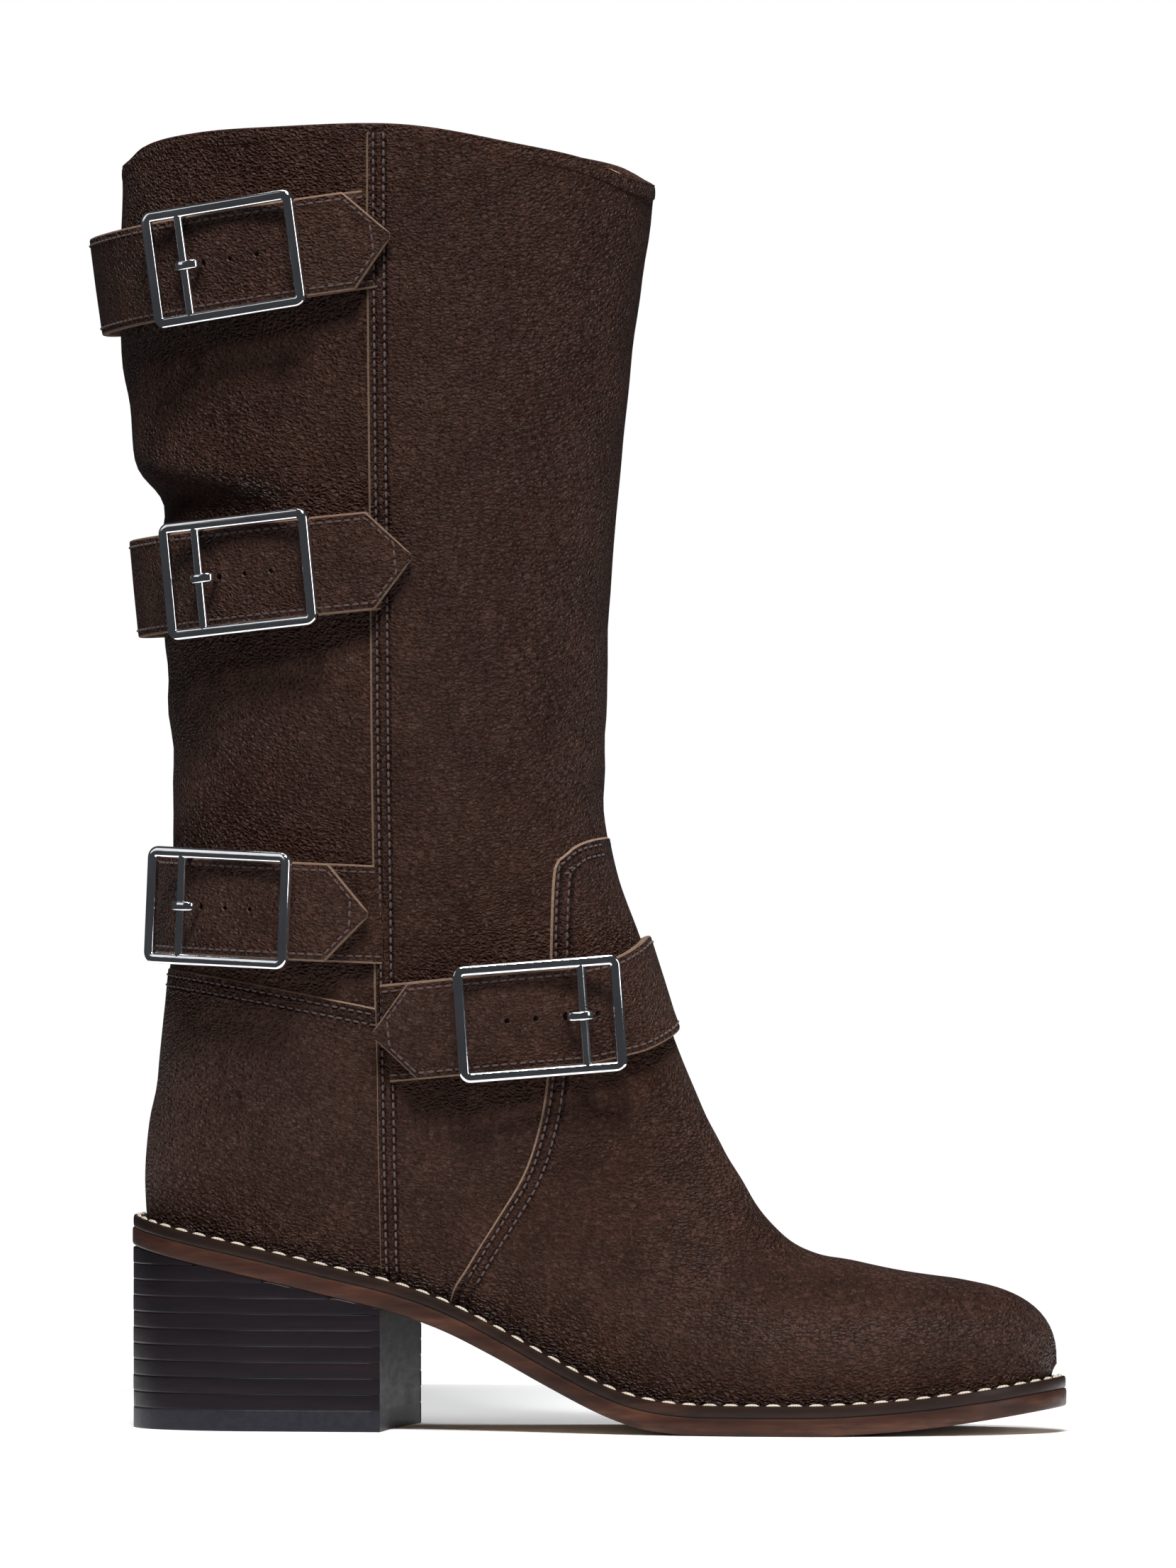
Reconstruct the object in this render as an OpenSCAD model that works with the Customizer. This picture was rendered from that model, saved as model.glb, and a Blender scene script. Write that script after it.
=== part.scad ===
// Right riding boot with four buckled straps, stitched welt and stacked leather heel.
// Frame: origin at the middle of the heel's bottom face, +X to the toe, -Y to the outer side, +Z up.

/* [Heel and sole] */
// Length of the heel block along the boot
heel_len = 77; // [70:0.5:80]
// Thickness of the hard top lift that meets the ground
top_lift_t = 6; // [5:0.5:7]
// Thickness of one leather heel lift
lift_t = 4.5; // [4.5:0.25:5]
// Thickness of the outsole
outsole_t = 5; // [4:0.5:6]
// Thickness of the welt
welt_t = 3.5; // [3:0.5:4]
// Thickness of the insole board
insole_t = 2.2; // [1.5:0.1:3]
// Thickness of the sock liner
sock_liner_t = 1.5; // [1:0.1:2]

/* [Upper] */
// Thickness of the outer leather
leather_t = 1.8; // [1.4:0.1:2]
// Thickness of the backer, toe puff and heel counter layer
backer_t = 1.0; // [0.8:0.1:1.2]
// Thickness of the lining leather
lining_t = 1.0; // [0.8:0.1:1.2]
// Segments round the upper
upper_segments = 36; // [32:4:40]

/* [Straps and buckles] */
// Width of a buckle strap
strap_w = 26; // [24:0.5:26]
// Thickness of a buckle strap
strap_t = 2.2; // [1.8:0.1:2.2]
// Thickness of a strap anchor
anchor_t = 1.4; // [1.2:0.1:1.4]
// Outer length of a buckle frame
buckle_len = 47.5; // [47:0.5:49]
// Outer height of a buckle frame
buckle_h = 33; // [33:0.5:35]
// Width of the frame's rim
buckle_rim = 3; // [2.6:0.1:3]
// Radius of the centre bar that carries the prong
bar_r = 1.3; // [1.2:0.05:1.35]
// Running clearance of the prong and the anchor loop
running_gap = 0.05; // [0.03:0.01:0.08]

/* [Hidden] */
LIFTS = 10;
LIFT_NAMES = [for (i = [1 : LIFTS]) str("heel_lift_", i < 10 ? "0" : "", i)];
STRAPS = [1, 2, 3, 4];

BROWN = [0.16, 0.09, 0.06];
STACK = [0.12, 0.07, 0.07];

heel_back = -heel_len / 2;
breast_x = heel_len / 2;
breast_r = 150;
breast_hollow = 1.5;
sole_t = outsole_t + welt_t;
seam_x = 38;
// Height of the turned rim, where the lining meets the outer leather
rim_turn = 4;

// Line of the outsole's bottom face, seen from the side: [x, z].
SOLE_LINE = [
    [-46, 53.6], [-20, 47.8], [0, 43.5], [20, 38.8], [40, 34], [55, 29], [70, 21.8], [85, 13.8],
    [100, 6.4], [112, 2.2], [125, 0.3], [140, 0], [155, 0], [170, 0.3], [190, 1.8], [210, 4.4],
    [234, 8.6]];

// Outline of the outsole and welt, seen from above: [x, y].
FOOTPRINT = [
    [heel_back, 0], [-35.5, -13], [-26, -24.5], [-8, -31.5], [15, -32], [38, -31.5], [65, -31.5],
    [90, -34], [115, -38.5], [140, -42], [165, -41], [190, -33.5], [209.5, -24], [223, -10],
    [227.2, 5], [224, 18], [213, 30.5], [195, 39.5], [170, 45], [148, 45.5], [120, 40],
    [95, 34], [68, 31], [38, 31.5], [15, 32], [-8, 31.5], [-26, 24.5], [-35.5, 13]];

// Stations of the upper, from above the rim to the toe. Each is an oval in a plane through the
// Y direction: [back x, back z, front x, front z, half width, middle y, back power, front power].
STATIONS = [
    [-41.5, 374, 111.6, 374, 47.0, 0, 2, 2],
    [-41.6, 340, 108.6, 340, 47.0, 0, 2, 2],
    [-41.5, 300, 103.4, 300, 46.0, 0, 2, 2],
    [-37.0, 274, 100.6, 274, 44.5, 0, 2, 2],
    [-30.3, 254, 98.6, 254, 43.0, 0, 2, 2],
    [-29.0, 216, 96.5, 216, 41.5, 0, 2, 2],
    [-27.0, 178, 95.9, 178, 39.5, 0, 2, 2],
    [-27.3, 142, 98.8, 157, 37.5, 0, 2, 2],
    [-29.4, 112, 105.8, 138, 36.0, 0, 2, 2],
    [-32.8, 86, 114.0, 112.6, 33.0, 0, 2.2, 2],
    [-34.4, 67, 124.0, 90, 31.0, 0, 2.4, 2],
    [-31.5, 50, 129.5, 79, 29.6, 0, 2.4, 1.9],
    [-20.0, 40, 134.5, 70, 29.0, 0, 2.2, 1.9],
    [5.0, 36, 138.8, 62.6, 28.8, 0, 2.1, 1.9],
    [40.0, 27, 143.5, 57, 29.0, 0.5, 2, 1.9],
    [70.0, 14, 149.5, 52.3, 31.0, 1, 2, 1.9],
    [95.0, 2, 157.0, 48.8, 34.5, 1.5, 2.1, 2],
    [120.0, -8, 166.0, 46.6, 38.0, 1.8, 2.2, 2],
    [146.0, -12, 177.0, 44.6, 38.0, 2.2, 2.2, 2.1],
    [170.0, -11, 188.0, 42.9, 35.0, 3.2, 2.2, 2.2],
    [188.0, -8, 195.5, 41.8, 31.0, 4.0, 2.2, 2.2],
    [200.0, -5, 202.5, 40.4, 27.0, 4.8, 2.2, 2.2]];
CAP_RINGS = 5;
cap_len = 21;
CAP_HEIGHT_POWER = 0.7;
CAP_WIDTH_POWER = 1.3;

// Edges of the panels, seen from the side: [x, z].
RIM = [
    [-60, 354], [-40, 357], [-30, 362], [-12, 364.8], [12, 365.8], [38, 366.4], [55, 365.2],
    [75, 361.5], [95, 357.2], [108, 351.5], [125, 347]];
VAMP_EDGE = [
    [54, 20], [58, 38], [63.3, 46.6], [71.5, 59.6], [78.5, 71.6], [82.7, 83.6], [85.2, 97.6],
    [86, 120], [86, 155], [88.4, 161.5], [97, 166.5], [125, 170]];
HEEL_SEAM = [[-60, 131], [-27, 129.5], [5, 125], [39, 118.5]];

// Station numbers whose ovals are the upper and lower edges of the ankle strap.
ANKLE_UP = 8;
ANKLE_LOW = 9;

// Straps 1 to 3, which go round the back: [height at x = 0, rise per mm of x, angle of the tip's
// end, angle of the buckle's middle, clearance behind the shaft].
BACK_STRAPS = [
    [329.2, 0.138, 81.6, 112, 4.6],
    [240.7, 0.098, 76.5, 113.6, 5.6],
    [147.0, -0.042, 89, 122, 1.2]];
MEDIAL_END = 272;
TIP_CUT = 15;
hole_r = 1.1;
hole_depth = 7;

// How far the ankle strap hangs below the middle of its two stations, by angle.
ANKLE_SAG = [[89, 0], [135, 5.4], [150, 4.8], [165, 2.4], [180, 0], [270, 0]];

// The buckle's own frame: X to the strap's tip, -Y out from the boot, Z across the strap.
frame_left = -11.3;
frame_t = 2.6;
frame_gap = 0.9;
frame_corner = 2.5;
window_corner = 0.8;
leg_w = 3;
leg_t = 2;
leg_overlap = 1;
leg_tail = 0.3;
rear_bar_r = 0.9;
rear_bar_y = 6.9;
loop_t = 0.9;
bar_y = -frame_gap - frame_t / 2;
prong_r = 0.9;
prong_w = 2.8;
prong_reach = 5.2;
prong_wall = 0.8;
prong_top = bar_y - bar_r - prong_wall;
prong_t = 1.4;
pin_depth = 1.4;

// ---- curves ----

function spline(p, i, t) =
    let (n = len(p), a = p[max(i - 1, 0)], b = p[i], c = p[min(i + 1, n - 1)], d = p[min(i + 2, n - 1)])
    0.5 * (2 * b + (c - a) * t + (2 * a - 5 * b + 4 * c - d) * t * t + (3 * b - a - 3 * c + d) * t * t * t);

function open_curve(p, steps) = concat(
    [for (i = [0 : len(p) - 2], j = [0 : steps - 1]) spline(p, i, j / steps)], [p[len(p) - 1]]);

function closed_curve(p, steps) =
    let (n = len(p), q = concat([p[n - 1]], p, [p[0], p[1]]))
    [for (i = [1 : n], j = [0 : steps - 1]) spline(q, i, j / steps)];

function backwards(list) = [for (i = [len(list) - 1 : -1 : 0]) list[i]];
function sole_curve(lift) = [for (q = open_curve(SOLE_LINE, 2)) [q.x, max(q.y, 0) + lift]];
function sole_strip(low, high) = concat(sole_curve(low), backwards(sole_curve(high)));

// ---- the upper's shape ----

function signed_power(v, n) = sign(v) * pow(abs(v), 2 / n);

// A point of station s at angle t: 0 at the back or sole, 90 at the outer side, 180 at the front.
function oval(s, t, off) =
    let (
        back = [s[0], s[1]], front = [s[2], s[3]], mid = (back + front) / 2,
        half = norm(front - back) / 2, dir = (front - back) / (2 * half),
        c = cos(t), q = -signed_power(c, c > 0 ? s[6] : s[7]) * (half + off),
        y = signed_power(sin(t), c > 0 ? s[6] : s[7]) * (s[4] + off))
    [mid.x + dir.x * q, s[5] - y, mid.y + dir.y * q];

// A point of the toe cap's ring, where f goes from 0 at the last station to 90 at the tip.
function cap_point(t, f, off) =
    let (
        s = STATIONS[len(STATIONS) - 1], p = oval(s, t, off),
        mid = [(s[0] + s[2]) / 2, s[5], (s[1] + s[3]) / 2],
        high = pow(cos(f), CAP_HEIGHT_POWER), wide = pow(cos(f), CAP_WIDTH_POWER))
    [p.x + (cap_len + off) * sin(f), mid.y + (p.y - mid.y) * wide, mid.z + (p.z - mid.z) * high];

function upper_rings(off) = concat(
    [for (s = STATIONS) [for (k = [0 : upper_segments - 1]) oval(s, k * 360 / upper_segments, off)]],
    [for (j = [1 : CAP_RINGS])
        [for (k = [0 : upper_segments - 1])
            cap_point(k * 360 / upper_segments, j * 90 / (CAP_RINGS + 0.6), off)]]);

module skin(rings) {
    n = len(rings[0]);
    m = len(rings);
    polyhedron(
        points = [for (r = rings, p = r) p],
        faces = concat(
            [backwards([for (k = [0 : n - 1]) k])],
            [for (j = [0 : m - 2], k = [0 : n - 1])
                [j * n + k, (j + 1) * n + (k + 1) % n, (j + 1) * n + k]],
            [for (j = [0 : m - 2], k = [0 : n - 1])
                [j * n + k, j * n + (k + 1) % n, (j + 1) * n + (k + 1) % n]],
            [[for (k = [0 : n - 1]) (m - 1) * n + k]]));
}

module last_shape(off) skin(upper_rings(off));

// A side-view outline, carried across the whole width.
module side_block(outline) rotate([90, 0, 0]) linear_extrude(160, center = true) polygon(outline);

module above_sole(lift) side_block(concat(sole_curve(sole_t + lift), [[234, 420], [-80, 420], [-80, 60]]));

module below_rim() side_block(concat(RIM, [[300, 300], [300, -30], [-80, -30], [-80, 354]]));

// One layer of the upper between two depths below its outer face, cut to the sole and the rim.
module layer(depth, thickness, rim_drop = 0) intersection() {
    difference() {
        last_shape(-depth);
        last_shape(-depth - thickness);
    }
    above_sole(0);
    translate([0, 0, -rim_drop]) below_rim();
}

// Blocks that each panel of the upper is cut with.
module vamp_block() side_block(concat(VAMP_EDGE, [[300, 170], [300, -30], [54, -30]]));
module front_block() translate([seam_x, -100, -30]) cube([300, 200, 450]);
module heel_block() side_block(concat(HEEL_SEAM, [[39, -30], [-60, -30]]));

// resize() by nothing makes OpenSCAD's own mesh of a cut layer.
module as_mesh() resize([0, 0, 0]) children();

module vamp() color(BROWN) as_mesh() intersection() {
    layer(0, leather_t);
    vamp_block();
}

module shaft_front() color(BROWN) as_mesh() difference() {
    intersection() {
        layer(0, leather_t);
        front_block();
    }
    vamp_block();
}

module shaft_back(side) color(BROWN) as_mesh() difference() {
    layer(0, leather_t);
    front_block();
    heel_block();
    translate([-100, side < 0 ? 0 : -200, -30]) cube([400, 200, 450]);
}

module heel_panel() color(BROWN) as_mesh() difference() {
    intersection() {
        layer(0, leather_t);
        heel_block();
    }
    front_block();
}

module toe_puff_block() translate([190, -100, -30]) cube([100, 200, 100]);
module counter_block() side_block([[-60, 30], [-60, 104], [-30, 104], [5, 97], [30, 80], [48, 55], [52, 30]]);

module toe_puff() color("tan") as_mesh() intersection() {
    layer(leather_t, backer_t);
    toe_puff_block();
}

module heel_counter() color("tan") as_mesh() intersection() {
    layer(leather_t, backer_t);
    counter_block();
}

module shaft_backer() color("beige") as_mesh() difference() {
    layer(leather_t, backer_t, rim_turn);
    toe_puff_block();
    counter_block();
}

// The lining turns out at the rim, where it meets the outer leather above the backer.
module lining() color([0.55, 0.42, 0.3]) as_mesh() intersection() {
    difference() {
        union() {
            last_shape(-leather_t - backer_t);
            difference() {
                last_shape(-leather_t);
                translate([0, 0, -rim_turn]) below_rim();
            }
        }
        last_shape(-leather_t - backer_t - lining_t);
    }
    above_sole(0);
    below_rim();
}

// The space inside the upper, between two heights above the sole's top face.
module inside_slab(low, high) intersection() {
    last_shape(-leather_t - backer_t - lining_t);
    side_block(sole_strip(sole_t + low, sole_t + high));
}

// ---- sole and heel ----

module footprint(inset = 0) offset(delta = -inset) polygon(closed_curve(FOOTPRINT, 3));

// A layer of the sole between two heights above the outsole's bottom face.
module sole_layer(low, high) intersection() {
    side_block(sole_strip(low, high));
    translate([0, 0, -10]) linear_extrude(100) children();
}

module welt_ring(outer, inner) difference() {
    footprint(outer);
    footprint(inner);
}

WELT_WIDTH = 13;
THREAD_INSET = 1.9;
THREAD_W = 1.1;
THREAD_H = 0.6;
SHANK_W = 12;
SHANK_GAP = 0.9;
SHANK_T = 1.6;
NAIL_R = 1.2;
NAIL_HEAD_R = 2.4;
NAIL_BOTTOM = 16;
NAILS = [[-22, 0], [-8, -11], [-8, 11], [12, -12], [12, 12]];

module nail_shanks(gap) for (n = NAILS)
    translate([n.x, n.y, NAIL_BOTTOM]) cylinder(r = NAIL_R + gap, h = 60, $fn = 32);

module outsole() color([0.2, 0.12, 0.08]) difference() {
    sole_layer(0, outsole_t) footprint();
    nail_shanks(0);
}

module welt() color([0.17, 0.1, 0.07]) sole_layer(outsole_t, sole_t) welt_ring(0, WELT_WIDTH);

module welt_stitching() color([0.85, 0.8, 0.7])
    sole_layer(sole_t, sole_t + THREAD_H) welt_ring(THREAD_INSET, THREAD_INSET + THREAD_W);

module shank_bar() intersection() {
    side_block(sole_strip(outsole_t + SHANK_GAP, outsole_t + SHANK_GAP + SHANK_T));
    translate([28, -SHANK_W / 2, -10]) cube([80, SHANK_W, 80]);
}

module cork_filler() color([0.6, 0.45, 0.3]) difference() {
    sole_layer(outsole_t, sole_t) footprint(WELT_WIDTH);
    shank_bar();
    nail_shanks(0);
}

module shank() color("silver") shank_bar();

module insole_board() color([0.75, 0.62, 0.45]) as_mesh() difference() {
    inside_slab(0, insole_t);
    nail_shanks(0.15);
}

module sock_liner() color([0.5, 0.38, 0.27]) as_mesh() inside_slab(insole_t, insole_t + sock_liner_t);

module heel_outline() difference() {
    intersection() {
        footprint();
        translate([heel_back - 5, -50]) square([heel_len + 5, 100]);
    }
    translate([breast_x + breast_r - breast_hollow, 0]) circle(r = breast_r, $fn = 180);
}

module heel_lift(i) color(STACK) difference() {
    translate([0, 0, top_lift_t + (i - 1) * lift_t]) linear_extrude(lift_t) heel_outline();
    side_block(concat(sole_curve(0), [[234, 120], [-46, 120]]));
    nail_shanks(0);
}

module heel_top_lift() color([0.08, 0.08, 0.1]) linear_extrude(top_lift_t) heel_outline();

// Each nail ends at the insole board's top face, under the sock liner.
module heel_nails() color("gray") for (n = NAILS) difference() {
    translate([n.x, n.y, NAIL_BOTTOM]) cylinder(r = NAIL_R, h = 60, $fn = 32);
    side_block(concat(sole_curve(sole_t + insole_t - 0.1), [[234, 120], [-46, 120]]));
}

// ---- straps ----

// The shaft's oval at height z: [middle x, half length, half width].
function shaft_oval(z) = [
    lookup(z, [for (s = STATIONS) if (s[3] >= 140) [s[1], (s[0] + s[2]) / 2]]),
    lookup(z, [for (s = STATIONS) if (s[3] >= 140) [s[1], (s[2] - s[0]) / 2]]),
    lookup(z, [for (s = STATIONS) if (s[3] >= 140) [s[1], s[4]]])];

// Clearance between shaft and strap round the back, from the tip to the inner seam.
function strap_clear(b, f) = lookup(f, [
    [70, 2.2], [84, 3], [98, 5.2], [112, 6.4], [140, 6.4], [180, b[4]], [225, max(b[4] - 2.5, 1.1)],
    [262, 1.1], [280, 1.1]]);
function anchor_clear(f) = lookup(f, [[80, 0.5], [95, 0.5], [115, 0.7], [140, 1]]);
anchor_half = strap_w / 2 - 1;

// A point at angle f round strap b: 0 is the front, 90 the outer side, 180 the back.
function strap_point(b, f, clear) =
    let (
        flat = shaft_oval(b[0]), z = b[0] + b[1] * (flat[0] + (flat[1] + clear) * cos(f)),
        o = shaft_oval(z))
    [o[0] + (o[1] + clear) * cos(f), -(o[2] + clear) * sin(f), z];

function unit(v) = v / norm(v);
function strap_up(b) = unit([-b[1], 0, 1]);
function strap_out(b, f, clear_now, clear_next) =
    unit(cross(strap_up(b), strap_point(b, f + 0.5, clear_next) - strap_point(b, f - 0.5, clear_now)));

// A band of rectangular section: stations are [point on the inner face, outward, up, half width].
module band(stations, thickness) {
    m = len(stations);
    polyhedron(
        points = [for (s = stations) each [
            s[0] - s[2] * s[3], s[0] + s[2] * s[3],
            s[0] + s[2] * s[3] + s[1] * thickness, s[0] - s[2] * s[3] + s[1] * thickness]],
        faces = concat(
            [[0, 1, 2, 3]],
            [for (j = [0 : m - 2], k = [0 : 3]) [4 * j + k, 4 * j + 4 + k, 4 * j + 4 + (k + 1) % 4]],
            [for (j = [0 : m - 2], k = [0 : 3]) [4 * j + k, 4 * j + 4 + (k + 1) % 4, 4 * j + (k + 1) % 4]],
            [[4 * m - 1, 4 * m - 2, 4 * m - 3, 4 * m - 4]]));
}

STRAP_STEP = 6;
function strap_angles(first, last) = concat([for (f = [first : STRAP_STEP : last - 1]) f], [last]);

function back_strap_station(b, f, half, clear) =
    [strap_point(b, f, clear), strap_out(b, f, clear, clear), strap_up(b), half];

// Half width near the pointed tip, from the distance to the tip's end.
function tip_half(d, w = strap_w) = min(w / 2, 1.5 + (w / 2 - 1.5) * d / TIP_CUT);

module back_strap(b) {
    tip = strap_point(b, b[2], strap_clear(b, b[2]));
    angles = concat([b[2], b[2] + 4, b[2] + 8, b[2] + 12], strap_angles(b[2] + 16, MEDIAL_END));
    band([for (f = backwards(angles))
        let (c = strap_clear(b, f))
        back_strap_station(b, f, tip_half(norm(strap_point(b, f, c) - tip)), c)], strap_t);
}

// It runs from the side seam to the loop round the buckle's rear bar.
module back_anchor(i) {
    b = BACK_STRAPS[i - 1];
    seam_angle = 90 - asin((seam_x - shaft_oval(b[0])[0]) / shaft_oval(b[0])[1]);
    band(concat([anchor_end(i)], [for (f = backwards(strap_angles(seam_angle + 1, b[3] + 5)))
        back_strap_station(b, f, anchor_half, anchor_clear(f))]), anchor_t);
}

// The ankle strap lies between two stations of the upper and goes round the front.
function ankle_clear(t) = lookup(t, [
    [86, 3.2], [100, 5.2], [116, 6.6], [140, 6.4], [165, 2.6], [180, 1.1], [270, 1.1]]);
function ankle_point(t, clear, across) =
    let (low = oval(STATIONS[ANKLE_LOW], t, clear), up = oval(STATIONS[ANKLE_UP], t, clear),
        at = across - lookup(t, ANKLE_SAG) / norm(up - low))
    low * (1 - at) + up * at;
function ankle_way(t) = unit(ankle_point(t + 0.5, 1, 0.5) - ankle_point(t - 0.5, 1, 0.5));
function ankle_out(t) = unit(cross(ankle_way(t), ankle_point(t, 1, 1) - ankle_point(t, 1, 0)));
function ankle_up(t) = cross(ankle_out(t), ankle_way(t));
function ankle_station(t, clear, half) = [ankle_point(t, clear, 0.5), ankle_out(t), ankle_up(t), half];

ankle_strap_w = strap_w - 1.4;
ANKLE_TIP = 89;
ANKLE_BUCKLE = 121;
ANKLE_END = 270;

module ankle_strap() {
    tip = ankle_point(ANKLE_TIP, ankle_clear(ANKLE_TIP), 0.5);
    band([for (t = concat([ANKLE_TIP, ANKLE_TIP + 4, ANKLE_TIP + 8, ANKLE_TIP + 12],
            strap_angles(ANKLE_TIP + 16, ANKLE_END)))
        ankle_station(t, ankle_clear(t),
            tip_half(norm(ankle_point(t, ankle_clear(t), 0.5) - tip), ankle_strap_w))], strap_t);
}

module ankle_anchor() band(concat(
    [for (t = strap_angles(91, ANKLE_BUCKLE + 4)) ankle_station(t, anchor_clear(t), anchor_half)],
    [anchor_end(4)]), anchor_t);

// ---- buckles ----

// Place and axes of buckle i: [point on the strap's outer face under the frame's middle, out, up].
function buckle_seat(i) = i == 4
    ? let (t = ANKLE_BUCKLE, c = ankle_clear(t))
        [ankle_point(t, c + strap_t, 0.5), ankle_out(t), ankle_up(t)]
    : let (b = BACK_STRAPS[i - 1], c = strap_clear(b, b[3]))
        [strap_point(b, b[3], c + strap_t), strap_out(b, b[3], c, c), strap_up(b)];

// The frame's middle is this far from the centre bar towards the tip.
seat_x = 16;

// Buckle i's axes in the boot's frame: to the tip, into the boot, across the strap.
function buckle_y(i) = -buckle_seat(i)[1];
function buckle_x(i) = unit(cross(buckle_y(i), buckle_seat(i)[2] * (i == 4 ? -1 : 1)));
function buckle_z(i) = cross(buckle_x(i), buckle_y(i));
function buckle_point(i, x, y) = buckle_seat(i)[0] + buckle_x(i) * (x - seat_x) + buckle_y(i) * y;

// Last station of the anchor, inside the wall of the loop.
function anchor_end(i) = [
    buckle_point(i, rear_bar_r + loop_t / 2, rear_bar_y + anchor_t / 2), buckle_seat(i)[1],
    buckle_seat(i)[2], anchor_half];

// Puts children into buckle i's own frame. A tip that points back turns it end for end.
module at_buckle(i) {
    x = buckle_x(i);
    y = buckle_y(i);
    z = buckle_z(i);
    p = buckle_point(i, 0, 0);
    multmatrix([[x.x, y.x, z.x, p.x], [x.y, y.y, z.y, p.y], [x.z, y.z, z.z, p.z], [0, 0, 0, 1]])
        children();
}

module rim_outline(inset, corner) translate([frame_left + inset, -buckle_h / 2 + inset])
    translate([corner, corner]) offset(r = corner)
        square([buckle_len - 2 * inset - 2 * corner, buckle_h - 2 * inset - 2 * corner]);

module buckle_frame(i) color([0.8, 0.8, 0.82]) at_buckle(i) {
    rotate([90, 0, 0]) translate([0, 0, frame_gap]) linear_extrude(frame_t) difference() {
        rim_outline(0, frame_corner, $fn = 32);
        rim_outline(buckle_rim, window_corner, $fn = 32);
    }
    // Centre bar for the prong, and the rear bar behind the strap that the anchor holds.
    translate([0, bar_y, -buckle_h / 2 + 1]) cylinder(r = bar_r, h = buckle_h - 2, $fn = 48);
    translate([0, rear_bar_y, -buckle_h / 2 + 1]) cylinder(r = rear_bar_r, h = buckle_h - 2, $fn = 48);
    for (side = [-1, 1])
        translate([-leg_w / 2, -frame_gap - leg_overlap, side * (buckle_h - buckle_rim) / 2 - leg_t / 2])
            cube([leg_w, rear_bar_y + frame_gap + leg_overlap + rear_bar_r + leg_tail, leg_t]);
}

// Loop of the anchor that is folded round the rear bar.
module anchor_loop(i) at_buckle(i) difference() {
    translate([0, rear_bar_y, -strap_w / 2 + 1]) cylinder(r = rear_bar_r + loop_t, h = strap_w - 2, $fn = 48);
    translate([0, rear_bar_y, -strap_w]) cylinder(r = rear_bar_r + running_gap, h = 2 * strap_w, $fn = 48);
}

module buckle_prong(i) color([0.85, 0.85, 0.86]) at_buckle(i) difference() {
    union() {
        translate([0, bar_y, -prong_w / 2]) cylinder(r = bar_r + prong_wall, h = prong_w, $fn = 48);
        translate([0, prong_top, -prong_w / 2]) cube([prong_reach, prong_t, prong_w]);
        translate([prong_reach - 1.2, prong_top, 0]) rotate([-90, 0, 0])
            cylinder(r = prong_r, h = pin_depth - prong_top, $fn = 32);
    }
    translate([0, bar_y, -5]) cylinder(r = bar_r + running_gap, h = 10, $fn = 48);
}

// Holes through strap i: one for the prong, with room to swing, and three spare ones.
prong_hole_x = 4.5;
prong_hole_r = 2.1;
SPARE_HOLES = [-7, 13, 21.5];
module strap_holes(i) at_buckle(i) {
    translate([prong_hole_x, -1, 0]) rotate([-90, 0, 0]) cylinder(r = prong_hole_r, h = hole_depth, $fn = 24);
    for (x = SPARE_HOLES)
        translate([x, -1, 0]) rotate([-90, 0, 0]) cylinder(r = hole_r, h = hole_depth, $fn = 16);
}

module strap(i) color(BROWN) as_mesh() difference() {
    if (i == 4) ankle_strap(); else back_strap(BACK_STRAPS[i - 1]);
    strap_holes(i);
}

module strap_anchor(i) color(BROWN) {
    as_mesh() if (i == 4) ankle_anchor(); else back_anchor(i);
    anchor_loop(i);
}

// ---- nodes ----

heel_top_lift();
for (i = [1 : LIFTS]) heel_lift(i);
heel_nails();
outsole();
welt();
welt_stitching();
cork_filler();
shank();
insole_board();
sock_liner();
vamp();
shaft_front();
shaft_back(-1);  // shaft_back_outer
shaft_back(1);  // shaft_back_inner
heel_panel();
toe_puff();
heel_counter();
shaft_backer();
lining();
for (i = STRAPS) {
    strap(i);
    strap_anchor(i);
    buckle_frame(i);
    buckle_prong(i);
}
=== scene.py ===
import math

import bmesh
import bpy
import numpy as np
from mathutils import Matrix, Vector
from mathutils.bvhtree import BVHTree


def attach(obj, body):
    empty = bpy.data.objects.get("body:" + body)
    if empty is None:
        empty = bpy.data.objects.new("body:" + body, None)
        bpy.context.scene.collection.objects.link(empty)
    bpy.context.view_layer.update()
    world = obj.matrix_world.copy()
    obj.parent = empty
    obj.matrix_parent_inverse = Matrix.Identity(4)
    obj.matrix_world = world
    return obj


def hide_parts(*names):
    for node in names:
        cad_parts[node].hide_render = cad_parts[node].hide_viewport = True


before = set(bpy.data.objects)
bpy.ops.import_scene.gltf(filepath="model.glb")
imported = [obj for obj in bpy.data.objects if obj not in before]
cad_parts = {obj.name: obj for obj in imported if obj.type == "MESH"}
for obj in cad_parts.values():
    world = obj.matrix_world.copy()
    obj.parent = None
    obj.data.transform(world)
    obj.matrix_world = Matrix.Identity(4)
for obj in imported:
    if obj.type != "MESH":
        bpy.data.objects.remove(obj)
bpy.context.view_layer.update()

# Lengths below are millimetres in the part's own frame, and meshes are made in metres.
MM = 0.001

# ---- the boot's design sizes, as in the part ----

HEEL_LEN = 77
HEEL_BACK = -HEEL_LEN / 2
TOP_LIFT_T = 6
LIFT_T = 4.5
LIFTS = 10
OUTSOLE_T = 5
WELT_T = 3.5
SOLE_T = OUTSOLE_T + WELT_T
SEAM_X = 38
BREAST_X = HEEL_LEN / 2
BREAST_HOLLOW = 1.5
HEEL_HALF = 32

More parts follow.
